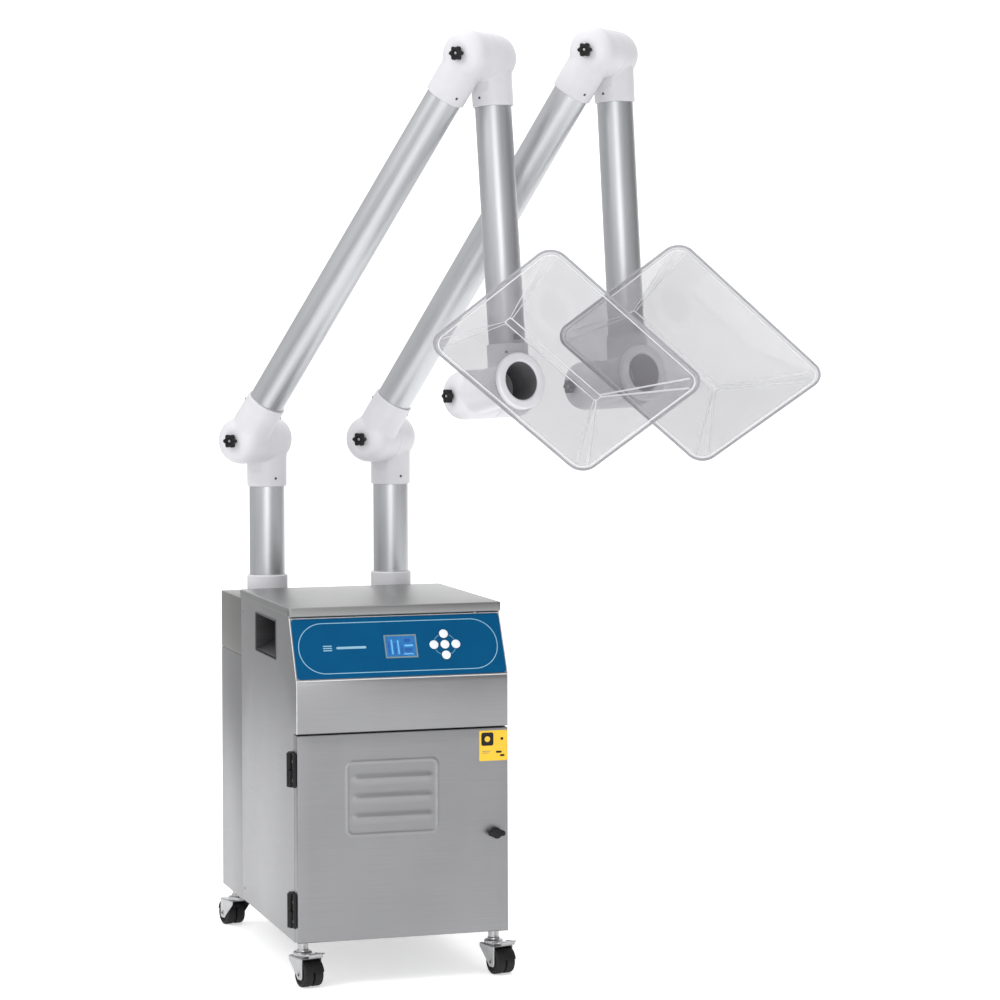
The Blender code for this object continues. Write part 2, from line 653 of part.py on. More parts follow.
def star_knob(name, parent, y):
    """A five-lobed clamping knob on the pivot, outside the domed end at this local Y."""
    seat = empty(f"{name}_axis", parent, (0.0, y, 0.0))
    lobes = 5
    points = lobes * 6
    outline = []
    for i in range(points):
        angle = math.tau * i / points
        radius = KNOB_RADIUS * (0.86 + 0.14 * math.cos(lobes * angle))
        outline.append((radius * math.cos(angle), radius * math.sin(angle)))
    stand_up = Matrix.Translation((0, -0.004, 0)) @ Matrix.Rotation(math.pi / 2, 4, "X")
    knob = prism(name, outline, 0.011, BLACK_PLASTIC, seat, stand_up)
    neck = [(0.0, CLEAR), (0.0075, CLEAR), (0.0075, 0.006), (0.0, 0.006)]
    part = turned(cutter_name(knob, "neck"), neck, None, seat, 12, Matrix.Rotation(math.pi / 2, 4, "X"))
    boolean(knob, part, "UNION")


def hood_shell(name, parent):
    """A clear hip-roofed hood. Local Z is the port's axis, local X the hood's long direction.

    Its rim lies in a plane turned about local X by the port panel's slope.
    """
    run = RIDGE_OFFSET - RIDGE_WIDTH / 2 + HOOD_WIDTH / 2
    slope = math.atan2(HOOD_DEPTH, run)
    place = Matrix.Rotation(slope, 4, "X")
    rim = rounded_rectangle(HOOD_LENGTH, HOOD_WIDTH, HOOD_CORNER, 4)
    lip = rounded_rectangle(HOOD_LENGTH + 2 * RIM_LIP, HOOD_WIDTH + 2 * RIM_LIP, HOOD_CORNER + RIM_LIP, 4)
    ridge_middle = sum(RIDGE_ENDS) / 2
    ridge = rounded_rectangle(RIDGE_ENDS[1] - RIDGE_ENDS[0], RIDGE_WIDTH, RIDGE_WIDTH * 0.45, 4)
    layers = [
        [(x, y, 0.0) for x, y in lip],
        [(x, y, 0.0) for x, y in rim],
        [(x + ridge_middle, y + RIDGE_OFFSET, -HOOD_DEPTH) for x, y in ridge],
    ]
    bm = bmesh.new()
    loops = [[bm.verts.new(point) for point in layer] for layer in layers]
    count = len(rim)
    for first, second in zip(loops, loops[1:]):
        for i in range(count):
            j = (i + 1) % count
            bm.faces.new([first[i], first[j], second[j], second[i]])
    bm.faces.new(loops[-1])
    rim_edge = Vector((0.0, -HOOD_WIDTH / 2, 0.0))
    shift = Matrix.Translation(-(place @ rim_edge) - Vector((PORT_ASIDE, PORT_ALONG, 0.0)))
    bmesh.ops.transform(bm, matrix=shift @ place, verts=bm.verts)
    hood = new_object(name, bm, CLEAR_PLASTIC, parent)
    thicken = hood.modifiers.new("wall", "SOLIDIFY")
    thicken.thickness = HOOD_WALL
    thicken.offset = 0.0
    port = [(0.0, -0.020), (PORT_RADIUS, -0.020), (PORT_RADIUS, 0.020), (0.0, 0.020)]
    boolean(hood, turned(cutter_name(hood, "port"), port, None, parent, SIDES), "DIFFERENCE")
    return hood


def arm(machine, name, spec):
    """One extraction arm from its collar to its hood. Its pivots all run along local Y."""
    collar_profile = [
        (TUBE_RADIUS + CLEAR, DUCT_TOP + CLEAR),
        (0.0430, DUCT_TOP + CLEAR),
        (0.0430, COLLAR_TOP - 0.002),
        (0.0415, COLLAR_TOP),
        (TUBE_RADIUS + CLEAR, COLLAR_TOP),
    ]
    spot = Matrix.Translation((spec["x"], RISER_Y, 0.0))
    turned(f"{name}_collar", collar_profile, WHITE_PLASTIC, machine, SIDES, spot)

    tilt = math.radians(spec["tilt"])
    lean = math.radians(spec["lean"])
    azimuth = math.radians(spec["azimuth"])
    inset = SOCKET_LENGTH - SOCKET_OVERLAP + CLEAR
    half = ARM_SPACING / 2

    swivel = empty(f"{name}_swivel_axis", machine, (spec["x"], RISER_Y, 0.0), (0, 0, -azimuth))
    tube(f"{name}_riser_tube", DUCT_TOP + CLEAR, PIVOT_HEIGHT - inset, swivel)
    lower = empty(f"{name}_lower_centre", swivel, (0, 0, PIVOT_HEIGHT))
    elbow_half(f"{name}_lower_elbow_base", lower, -1, half, math.pi)

    rising = empty(f"{name}_lower_axis", swivel, (0, -ARM_SPACING, PIVOT_HEIGHT), (0, tilt, 0))
    elbow_half(f"{name}_lower_elbow_arm", rising, 1, half)
    tube(f"{name}_long_tube", inset, LONG_REACH - inset, rising)
    crown = empty(f"{name}_crown_centre", rising, (0, 0, LONG_REACH))
    elbow_half(f"{name}_upper_elbow_rising", crown, 1, half, math.pi)
    star_knob(f"{name}_lower_knob", rising, -DOME_LENGTH)

    falling = empty(f"{name}_upper_axis", crown, (0, ARM_SPACING, 0), (0, -lean - tilt, 0))
    elbow_half(f"{name}_upper_elbow_falling", falling, -1, half, math.pi)
    tube(f"{name}_drop_tube", inset - DROP_REACH, -inset, falling)
    star_knob(f"{name}_upper_knob", crown, -DOME_LENGTH)

    turn = azimuth + math.radians(END_AZIMUTH)
    wrist = empty(f"{name}_wrist_axis", falling, (0, 0, -DROP_REACH), (0, 0, turn))
    elbow_half(f"{name}_end_elbow_fixed", wrist, -1, END_SPACING / 2)
    aim = math.radians(90 - NOZZLE_RISE)
    nod = empty(f"{name}_nod_axis", wrist, (0, -END_SPACING, 0), (0, aim, 0))
    return nod


def end_of_arm(name, nod):
    """The nozzle, its knob and the hood that turns on it."""
    elbow_half(f"{name}_end_elbow_nozzle", nod, 1, END_SPACING / 2, 0.0, nozzle=True)
    star_knob(f"{name}_end_knob", nod, -DOME_LENGTH)
    port_plane = NOZZLE_REACH - 0.012 - HOOD_WALL / 2
    spin = empty(f"{name}_hood_axis", nod, (0, 0, port_plane), (0, 0, math.radians(HOOD_SPIN)))
    hood_shell(f"{name}_hood", spin)


def main():
    clear_scene()
    machine = empty("machine", None, FRAME_SHIFT)
    cabinet_shell(machine)
    for side in ("left", "right"):
        handle_cup(machine, side)
    front_fascia(machine)
    control_overlay(machine)
    display_module(machine)
    buttons(machine)
    top_lid(machine)
    rear_housing(machine)
    filter_and_blower(machine)
    for level, bottom in HINGE_BOTTOMS.items():
        base = empty(f"hinge_base_{level}_line", machine, (*HINGE_AXIS, 0.0))
        hinge_leaf(f"hinge_base_{level}", base, bottom, 1)
    latch_knob(door(machine))
    for row in STEM_Y:
        for side, x in (("left", STEM_INSET), ("right", CABINET_WIDTH - STEM_INSET)):
            castor(machine, f"castor_{row}_{side}", x, row)
    for name, spec in ARMS.items():
        end_of_arm(name, arm(machine, name, spec))


main()
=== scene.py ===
import json
import math

import bmesh
import bpy
from mathutils import Matrix, Vector


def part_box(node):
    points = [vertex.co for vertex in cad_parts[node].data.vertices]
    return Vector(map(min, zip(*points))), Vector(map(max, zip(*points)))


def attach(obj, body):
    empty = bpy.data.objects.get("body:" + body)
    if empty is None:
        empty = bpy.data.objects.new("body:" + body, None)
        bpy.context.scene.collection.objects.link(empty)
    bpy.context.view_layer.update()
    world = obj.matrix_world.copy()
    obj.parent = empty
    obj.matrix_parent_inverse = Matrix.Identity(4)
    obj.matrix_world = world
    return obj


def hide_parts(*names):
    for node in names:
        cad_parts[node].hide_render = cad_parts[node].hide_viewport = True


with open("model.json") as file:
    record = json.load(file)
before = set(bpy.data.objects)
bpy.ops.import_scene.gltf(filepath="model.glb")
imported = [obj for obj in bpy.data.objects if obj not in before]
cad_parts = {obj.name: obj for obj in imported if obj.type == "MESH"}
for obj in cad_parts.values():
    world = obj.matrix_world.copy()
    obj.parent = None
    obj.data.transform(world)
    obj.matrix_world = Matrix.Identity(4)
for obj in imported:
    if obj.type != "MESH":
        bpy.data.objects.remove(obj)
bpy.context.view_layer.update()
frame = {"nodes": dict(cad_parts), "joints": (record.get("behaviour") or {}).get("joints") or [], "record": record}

# --- sizes, in metres, of the solids that the pieces below stand for ---
GAP = 0.0004
WIDTH, DEPTH, REAR = 0.43, 0.51, 0.712
BOTTOM, SHEET = 0.085, 0.002
DOOR_TOP, DOOR_THICK = 0.492, 0.022
FASCIA_LOW, FASCIA_BEND, FASCIA_TOP, SETBACK = 0.4955, 0.597, 0.7157, 0.062
SHELF_TOP, SHELL_TOP, LID_TOP, LID_FRONT = 0.4975, 0.7195, 0.7365, 0.056
DUCT_SPLIT, DUCT_TOP = 0.597, 0.717
HANDLE_Y, HANDLE_Z, HANDLE_DEEP = (0.18, 0.362), (0.624, 0.7), 0.055
HINGE_HEIGHT, HINGE_BOTTOMS = 0.066, {"lower": 0.1163, "upper": 0.3913}
LATCH = (0.4015, 0.2844)
OVERLAY_LOW, OVERLAY_HIGH = 0.0045, 0.1305
DISPLAY_CENTRE, DISPLAY_SIZE = (0.2183, 0.067), (0.066, 0.049)
BUTTON_CENTRE, BUTTON_PITCH, BUTTON_RADIUS = (0.3083, 0.0675), 0.0225, 0.009
TUBE_RADIUS, TUBE_WALL = 0.0375, 0.002
SOCKET_RADIUS, SOCKET_LENGTH, SOCKET_OVERLAP = 0.0418, 0.1, 0.034
DRUM_RADIUS, DRUM_WALL, DOME = 0.05, 0.0035, 0.043
HALF_PIVOT, HALF_END = 0.0425, 0.052
COLLAR_TOP, NOZZLE_REACH = 0.758, 0.184
KNOB_RADIUS = 0.015
HOOD_LENGTH, HOOD_WIDTH, HOOD_DEPTH, HOOD_CORNER, HOOD_WALL = 0.425, 0.324, 0.126, 0.028, 0.0025
HOOD_LIP, HOOD_SPIN, HOOD_STEPS = 0.007, 50.3, 14
RIDGE_ENDS, RIDGE_WIDTH, RIDGE_OFFSET = (-0.094, 0.166), 0.012, -0.077
PORT_ALONG, PORT_ASIDE, PORT_RADIUS = 0.0635, -0.0068, 0.0425
RING_RADIUS, RING_BORE = 0.057, 0.0385
STEM_INSET, STEM_Y = 0.02, {"front": 0.04, "rear": 0.656}
CASTOR_YAW, CASTOR_TRAIL, WHEEL_RADIUS = {"front": 14.0, "rear": 194.0}, 0.027, 0.025
WHEEL_WIDTH, WHEEL_GAP, FORK_TOP, FORK_SHEET = 0.0185, 0.003, 0.057, 0.0022

PAST = 0.01  # how far a cutter reaches beyond the sheet that it cuts
CRISP = 34  # degrees: edges sharper than this stay crisp
FINE, ROUND = 24, 96  # facets around a small fitting and around a tube
PRINT_THICK = 0.0002
ARMS, SIDES = ("arm_1", "arm_2"), ("left", "right")

corner = Vector((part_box("cabinet_shell")[0].x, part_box("door")[0].y, 0.0))
HOME = Matrix.Translation(corner)
JOINTS = {joint["name"]: joint for joint in frame["joints"]}


# --- materials ---
def shader(name, colour, roughness, metallic=0.0, **sockets):
    material = bpy.data.materials.new(name)
    material.use_nodes = True
    principled = material.node_tree.nodes["Principled BSDF"]
    principled.inputs["Base Color"].default_value = (*colour, 1.0)
    principled.inputs["Roughness"].default_value = roughness
    principled.inputs["Metallic"].default_value = metallic
    for label, value in sockets.items():
        principled.inputs[label.replace("_", " ")].default_value = value
    return material


def add_node(tree, kind, **sockets):
    """A shader node with these values on its sockets."""
    node = tree.nodes.new(kind)
    for label, value in sockets.items():
        node.inputs[label.replace("_", " ")].default_value = value
    return node


def drive(material, output, label):
    """Links a texture's output to a socket of the material's shader."""
    principled = material.node_tree.nodes["Principled BSDF"]
    material.node_tree.links.new(output, principled.inputs[label])


def texture(material, scale, detail, stretch=(1, 1, 1)):
    """A noise texture in object space, stretched by these factors. Returns its value output."""
    tree = material.node_tree
    space = tree.nodes.new("ShaderNodeTexCoord")
    mapping = add_node(tree, "ShaderNodeMapping", Scale=stretch)
    noise = add_node(tree, "ShaderNodeTexNoise", Scale=scale, Detail=detail)
    tree.links.new(space.outputs["Object"], mapping.inputs["Vector"])
    tree.links.new(mapping.outputs["Vector"], noise.inputs["Vector"])
    return noise.outputs[0]


def tint(material, value, dark, light, low=0.3, high=0.7):
    """Colours the surface between two colours by a texture value."""
    ramp = material.node_tree.nodes.new("ShaderNodeValToRGB")
    for stop, spot, colour in zip(ramp.color_ramp.elements, (low, high), (dark, light)):
        stop.position = spot
        stop.color = (*colour, 1.0)
    material.node_tree.links.new(value, ramp.inputs["Fac"])
    drive(material, ramp.outputs["Color"], "Base Color")


def vary(material, value, low, high):
    """Roughness from low to high by a texture value."""
    limits = {"From_Min": 0.3, "From_Max": 0.7, "To_Min": low, "To_Max": high}
    spread = add_node(material.node_tree, "ShaderNodeMapRange", **limits)
    material.node_tree.links.new(value, spread.inputs["Value"])
    drive(material, spread.outputs["Result"], "Roughness")


def relief(material, value, strength):
    """A fine bump by a texture value."""
    distance = 0.0002
    bump = add_node(material.node_tree, "ShaderNodeBump", Strength=strength, Distance=distance)
    material.node_tree.links.new(value, bump.inputs["Height"])
    drive(material, bump.outputs["Normal"], "Normal")


def brushed(name, dark, light, low, high, stretch):
    """Brushed sheet metal: fine streaks, with soft clouding from handling over them."""
    material = shader(name, light, low, 1.0)
    streaks = texture(material, 6.0, 8.0, stretch)
    clouds = texture(material, 5.0, 3.0)
    tree = material.node_tree
    blend = tree.nodes.new("ShaderNodeMix")
    blend.data_type = "FLOAT"
    blend.inputs[0].default_value = 0.45
    tree.links.new(streaks, blend.inputs[2])
    tree.links.new(clouds, blend.inputs[3])
    tint(material, blend.outputs[0], dark, light, 0.36, 0.64)
    vary(material, streaks, low, high)
    relief(material, streaks, 0.1)
    return material


def moulded(name, dark, light, roughness, grain=900.0, strength=0.06, **sockets):
    """Moulded plastic or rubber: a fine spark-eroded texture and slightly uneven colour."""
    material = shader(name, light, roughness, **sockets)
    tint(material, texture(material, 14.0, 3.0), dark, light)
    fine = texture(material, grain, 2.0)
    vary(material, fine, roughness - 0.05, roughness + 0.07)
    relief(material, fine, strength)
    return material


STEEL = brushed("brushed_steel", (0.262, 0.262, 0.268), (0.302, 0.302, 0.308), 0.34, 0.44, (1.5, 1.5, 150))
LID_STEEL = brushed("lid_steel", (0.25, 0.25, 0.25), (0.3, 0.3, 0.3), 0.32, 0.42, (1.5, 150, 150))
DUCT_STEEL = brushed("duct_steel", (0.23, 0.228, 0.222), (0.275, 0.271, 0.265), 0.42, 0.54, (1.5, 1.5, 120))
ZINC = brushed("zinc_plate", (0.4, 0.4, 0.41), (0.52, 0.52, 0.52), 0.26, 0.38, (8, 8, 8))
ALUMINIUM = brushed("satin_aluminium", (0.545, 0.55, 0.565), (0.6, 0.605, 0.62), 0.38, 0.45, (90, 90, 1.2))
WHITE = moulded("white_plastic", (0.69, 0.685, 0.71), (0.74, 0.735, 0.76), 0.4, 700.0, 0.03)
DULL = {"Specular_IOR_Level": 0.3}
BLACK = moulded("black_plastic", (0.004, 0.004, 0.0045), (0.008, 0.008, 0.009), 0.5, **DULL)
RUBBER = moulded("black_rubber", (0.006, 0.006, 0.006), (0.014, 0.014, 0.014), 0.7, 500.0, 0.15, **DULL)
# bright steel for thin beads on the fascia's bends and top edge: a painted highlight
BEND_HIGHLIGHT = brushed("painted_bend_highlight", (0.72, 0.72, 0.73), (0.82, 0.82, 0.83), 0.26, 0.36, (8, 8, 8))
# brushed steel darkened as painted shade, for the handle recess and the rim around it
RECESS_SHADE = brushed("recess_painted_shade", (0.075, 0.075, 0.078), (0.11, 0.11, 0.115), 0.34, 0.46, (1.5, 1.5, 150))
MATT = {"Specular_IOR_Level": 0.08}
FILM = moulded("blue_film", (0.0, 0.074, 0.188), (0.0, 0.082, 0.206), 0.5, 1200.0, 0.02, **MATT)
PRINT = moulded("pale_print", (0.24, 0.46, 0.6), (0.28, 0.5, 0.64), 0.45, 1200.0, 0.02)
KEYCAP = moulded("button_white", (0.8, 0.83, 0.86), (0.88, 0.9, 0.92), 0.35, 900.0, 0.03)
CARD = moulded("filter_card", (0.55, 0.53, 0.48), (0.68, 0.66, 0.61), 0.85, 300.0, 0.25)
MOTOR = moulded("motor_grey", (0.13, 0.13, 0.14), (0.19, 0.19, 0.2), 0.5, 400.0, 0.12)
FOAM = moulded("door_seal", (0.02, 0.02, 0.02), (0.035, 0.035, 0.035), 0.9, 350.0, 0.3)
LABEL = moulded("yellow_label", (0.82, 0.5, 0.02), (0.9, 0.57, 0.03), 0.38, 1000.0, 0.02)
SCREW = brushed("screw_steel", (0.06, 0.06, 0.065), (0.13, 0.13, 0.135), 0.3, 0.45, (20, 20, 20))
BEZEL = moulded("display_bezel", (0.14, 0.22, 0.25), (0.19, 0.28, 0.32), 0.35, 900.0, 0.03)
SCREEN_GLOW = {"Emission_Color": (0.02, 0.23, 0.66, 1.0), "Emission_Strength": 0.12}
DISPLAY = shader("display_blue", (0.02, 0.24, 0.64), 0.12, **SCREEN_GLOW)
tint(DISPLAY, texture(DISPLAY, 160.0, 2.0), (0.006, 0.11, 0.33), (0.012, 0.16, 0.42))
DISPLAY_MARK = moulded("display_mark", (0.1, 0.42, 0.8), (0.16, 0.5, 0.88), 0.3, 900.0, 0.02)
DARK_MARK = moulded("display_dark_mark", (0.004, 0.075, 0.3), (0.006, 0.1, 0.36), 0.3, 900.0, 0.02)
CLEAR = moulded("clear_plastic", (0.3, 0.295, 0.315), (0.35, 0.34, 0.365), 0.14, 60.0, 0.03, Alpha=0.38)
CLEAR_EDGE = moulded("clear_edge", (0.4, 0.4, 0.43), (0.48, 0.48, 0.51), 0.12, 60.0, 0.03, Alpha=0.7)
# near-white, mostly opaque beads on the hood's creases and inner rim: a painted highlight
CREASE_HIGHLIGHT = moulded("painted_crease_highlight", (0.9, 0.9, 0.92), (0.96, 0.96, 0.98), 0.1, 60.0, 0.03, Alpha=0.8)
for clear in (CLEAR, CLEAR_EDGE, CREASE_HIGHLIGHT):
    clear.surface_render_method = "BLENDED"
    clear.node_tree.nodes["Principled BSDF"].inputs["Coat Weight"].default_value = 0.6

BY_SLOT = {
    "brushed_steel": STEEL, "lid_steel": LID_STEEL, "duct_steel": DUCT_STEEL, "zinc_plate": ZINC,
    "satin_aluminium": ALUMINIUM, "white_plastic": WHITE, "black_plastic": BLACK,
    "black_rubber": RUBBER, "blue_film": FILM, "display_blue": DISPLAY, "button_white": KEYCAP,
    "filter_card": CARD, "motor_grey": MOTOR, "clear_plastic": CLEAR,
}
for row in frame["record"]["subparts"]:
    cad_mesh = frame["nodes"][row["node"]].data
    cad_mesh.materials.clear()
    cad_mesh.materials.append(BY_SLOT[row["material_slot"]])


# --- mesh helpers ---
HERE = Matrix.Identity(4)


def shift(x, y, z):
    return Matrix.Translation((x, y, z))


def spin(degrees, axis):
    return Matrix.Rotation(math.radians(degrees), 4, axis)


def add_object(name, data, matrix):
    thing = bpy.data.objects.new(name, data)
    bpy.context.collection.objects.link(thing)
    thing.matrix_world = matrix
    return thing


def finish_mesh(name, bm, material, matrix, smooth=CRISP):
    bmesh.ops.recalc_face_normals(bm, faces=bm.faces[:])
    mesh = bpy.data.meshes.new(name)
    bm.to_mesh(mesh)
    bm.free()
    if material:
        mesh.materials.append(material)
    mesh.shade_smooth()
    mesh.set_sharp_from_angle(angle=math.radians(smooth))
    return add_object(name, mesh, matrix)


def settle(thing, smooth=CRISP):
    """Applies the modifiers to the mesh."""
    graph = bpy.context.evaluated_depsgraph_get()
    graph.update()
    mesh = bpy.data.meshes.new_from_object(thing.evaluated_get(graph))
    thing.modifiers.clear()
    thing.data = mesh
    mesh.shade_smooth()
    mesh.set_sharp_from_angle(angle=math.radians(smooth))
    return thing


def combine(thing, others, operation="DIFFERENCE"):
    """Cuts the others out of the thing, or fuses them with it, and removes them."""
    for other in others:
        change = thing.modifiers.new("cut", "BOOLEAN")
        change.operation = operation
        change.solver = "EXACT"
        change.object = other
    settle(thing)
    for other in others:
        bpy.data.objects.remove(other, do_unlink=True)
    return thing


def soften(thing, width, segments=3, angle=40):
    """Rounds the mesh's sharp edges."""
    bevel = thing.modifiers.new("edges", "BEVEL")
    bevel.width = width
    bevel.segments = segments
    bevel.limit_method = "ANGLE"
    bevel.angle_limit = math.radians(angle)
    bevel.harden_normals = False
    return settle(thing)


def place(piece, body, slot, *nodes):
    """Hands a piece over. Brushed sheet first takes the cabinet's frame, so that its grain lies level."""
    if slot in ("brushed_steel", "lid_steel", "duct_steel"):
        piece.data.transform(HOME.inverted() @ piece.matrix_world)
        piece.matrix_world = HOME
    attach(piece, body)
    if nodes:
        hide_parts(*nodes)
    return piece


def fillet(points, radius, closed=False, steps=5):
    """Rounds the corners of a 2-D outline."""
    out = []
    count = len(points)
    for i, point in enumerate(points):
        here = Vector(point)
        if not closed and i in (0, count - 1):
            out.append(tuple(here))
            continue
        before = Vector(points[i - 1]) - here
        after = Vector(points[(i + 1) % count]) - here
        reach = min(radius, before.length * 0.45, after.length * 0.45)
        straight = before.normalized().dot(after.normalized()) < -0.999
        if straight or reach < 1e-5:
            out.append(tuple(here))
            continue
        start = here + before.normalized() * reach
        end = here + after.normalized() * reach
        for k in range(steps + 1):
            t = k / steps
            spot = start.lerp(here, t).lerp(here.lerp(end, t), t)
            out.append(tuple(spot))
    return out


def lathe_mesh(profile, segments=72):
    """A closed turned body about Z from (radius, height) pairs, open or closed at the axis."""
    bm = bmesh.new()
    on_axis = profile[0][0] < 1e-6 and profile[-1][0] < 1e-6
    rows = []
    for radius, height in profile:
        if radius < 1e-6:
            rows.append([bm.verts.new((0.0, 0.0, height))])
            continue
        row = []
        for k in range(segments):
            angle = math.tau * k / segments
            row.append(bm.verts.new((radius * math.cos(angle), radius * math.sin(angle), height)))
        rows.append(row)
    pairs = list(zip(rows, rows[1:]))
    if not on_axis:
        pairs.append((rows[-1], rows[0]))
    for first, second in pairs:
        for k in range(segments):
            n = (k + 1) % segments
            if len(first) == 1 and len(second) == 1:
                break
            if len(first) == 1:
                bm.faces.new([first[0], second[k], second[n]])
            elif len(second) == 1:
                bm.faces.new([first[k], first[n], second[0]])
            else:
                bm.faces.new([first[k], first[n], second[n], second[k]])
    return bm


def lathe(name, profile, material, matrix, segments=72, rounding=0.0):
    if rounding:
        profile = fillet(profile, rounding, closed=profile[0][0] > 1e-6)
    return finish_mesh(name, lathe_mesh(profile, segments), material, matrix)


def prism(name, outline, depth, material, matrix):
    """An outline in local XY, extruded from 0 to depth along local Z."""
    bm = bmesh.new()
    low = [bm.verts.new((x, y, 0.0)) for x, y in outline]
    high = [bm.verts.new((x, y, depth)) for x, y in outline]
    count = len(outline)
    bm.faces.new(low)
    bm.faces.new(high)
    for k in range(count):
        n = (k + 1) % count
        bm.faces.new([low[k], low[n], high[n], high[k]])
    return finish_mesh(name, bm, material, matrix)


def block(name, low, high, material, matrix=HOME):
    outline = [(low[0], low[1]), (high[0], low[1]), (high[0], high[1]), (low[0], high[1])]
    return prism(name, outline, high[2] - low[2], material, matrix @ shift(0, 0, low[2]))


def round_point(radius, degrees, centre=(0.0, 0.0)):
    angle = math.radians(degrees)
    return centre[0] + radius * math.cos(angle), centre[1] + radius * math.sin(angle)


def cylinder(name, radius, low, high, matrix, segments, rounding=0.0):
    profile = [(0.0, low), (radius, low), (radius, high), (0.0, high)]
    return lathe(name, profile, None, matrix, segments, rounding)


def rounded_rectangle(width, height, radius, steps, centre=(0.0, 0.0)):
    points = []
    turns = ((1, 1, 0), (-1, 1, 90), (-1, -1, 180), (1, -1, 270))
    for sx, sy, start in turns:
        for k in range(steps + 1):
            angle = math.radians(start + 90 * k / steps)
            x = centre[0] + sx * (width / 2 - radius) + radius * math.cos(angle)
            y = centre[1] + sy * (height / 2 - radius) + radius * math.sin(angle)
            points.append((x, y))
    return points


def tile(name, size, radius, steps, centre, depth, material, matrix):
    """A rounded rectangle of this (width, height), extruded along local Z."""
    return prism(name, rounded_rectangle(*size, radius, steps, centre), depth, material, matrix)


def sweep(name, path, radius, material, matrix, closed=True, sides=10, flatten=1.0):
    """A tube of this radius along a path of 3-D points, flattened along the path's own binormal."""
    bm = bmesh.new()
    count = len(path)
    rings = []
    normal = None
    for i, point in enumerate(path):
        ahead = path[(i + 1) % count] if closed or i + 1 < count else point
        behind = path[i - 1] if closed or i > 0 else point
        along = (Vector(ahead) - Vector(behind)).normalized()
        if normal is None:
            guide = Vector((0, 0, 1)) if abs(along.z) < 0.9 else Vector((1, 0, 0))
            normal = along.cross(guide).normalized()
        normal = (normal - along * normal.dot(along)).normalized()
        other = along.cross(normal)
        ring = []
        for k in range(sides):
            angle = math.tau * k / sides
            offset = normal * math.cos(angle) + other * math.sin(angle) * flatten
            ring.append(bm.verts.new(Vector(point) + offset * radius))
        rings.append(ring)
    pairs = list(zip(rings, rings[1:]))
    if closed:
        pairs.append((rings[-1], rings[0]))
    else:
        bm.faces.new(rings[0])
        bm.faces.new(rings[-1])
    for first, second in pairs:
        for k in range(sides):
            n = (k + 1) % sides
            bm.faces.new([first[k], first[n], second[n], second[k]])
    return finish_mesh(name, bm, material, matrix, 60)


def axes(origin, z_axis, y_axis):
    """A frame at this point with its Z along the first axis and its Y as near the second as it can be."""
    z = z_axis.normalized()
    y = (y_axis - z * y_axis.dot(z)).normalized()
    x = y.cross(z)
    turn = Matrix((x, y, z)).transposed().to_4x4()
    return Matrix.Translation(origin) @ turn


# outlines in (y, z) that grow along +X, and outlines in (x, z) that grow towards -Y
SIDEWAYS = Matrix(((0, 0, 1, 0), (1, 0, 0, 0), (0, 1, 0, 0), (0, 0, 0, 1)))
FORWARD = spin(90, "X")
FLIP_X = spin(180, "Z")


def screw(name, body, matrix, radius, material=SCREW, slot="black_plastic"):
    """A pan-head screw with a cross recess. Local +Z points out of the surface."""
    sunk, edge = -0.0006, radius * 0.25
    crown = [(radius, edge), (radius * 0.55, radius * 0.62), (0.0, radius * 0.7)]
    head = lathe(name, [(0.0, sunk), (radius, sunk), *crown], material, matrix, 20, edge)
    half_long, half_wide = radius * 0.55, radius * 0.11
    low, high = (-half_long, -half_wide, radius * 0.3), (half_long, half_wide, radius)
    combine(head, [block("slot", low, high, None, matrix @ spin(turn, "Z")) for turn in (0, 90)])
    return place(head, body, slot)


# --- cabinet ---
def duct_way(front, rear):
    """The cutter for the air's way from the cabinet into the rear casing, for either one's wall."""
    return block("duct_way", (0.115, front, 0.11), (0.315, rear, 0.18), None)


def cabinet_skin():
    """The folded shell with its shelf, its open front and top, the ways for air and the handle cut-outs."""
    behind = SHEET + GAP
    outline = [
        (DOOR_THICK + GAP, BOTTOM), (DEPTH, BOTTOM), (DEPTH, SHELL_TOP), (SETBACK + behind, SHELL_TOP),
        (SETBACK + behind, FASCIA_TOP - 0.0008), (behind, FASCIA_BEND), (behind, FASCIA_LOW),
        (DOOR_THICK + GAP, FASCIA_LOW),
    ]
    skin = prism("cabinet_skin", outline, WIDTH, STEEL, HOME @ SIDEWAYS)
    soften(skin, 0.0016, 3)
    low, high = SHEET, WIDTH - SHEET
    back, lip = DEPTH - SHEET, DOOR_THICK + GAP + SHEET
    cutters = [
        block("lower_room", (low, lip, BOTTOM + SHEET), (high, back, SHELF_TOP - 0.004), None),
        block("door_way", (0.02, 0.0, 0.105), (WIDTH - 0.02, 0.03, 0.475), None),
        block("upper_room", (low, -PAST, SHELF_TOP), (high, back, SHELL_TOP + PAST), None),
        duct_way(back - PAST, DEPTH + PAST),
        block("air_way", (0.15, 0.22, SHELF_TOP - PAST), (0.28, 0.35, SHELF_TOP + PAST), None),
    ]
    for x in (-PAST, WIDTH - PAST):
        size = (HANDLE_Y[1] - HANDLE_Y[0], HANDLE_Z[1] - HANDLE_Z[0])
        centre = (sum(HANDLE_Y) / 2, sum(HANDLE_Z) / 2)
        flank = HOME @ shift(x, 0, 0) @ SIDEWAYS
        cutters.append(tile("handle", size, 0.003, 4, centre, 2 * PAST, None, flank))
    combine(skin, cutters)
    place(skin, "cabinet", "brushed_steel", "cabinet_shell")


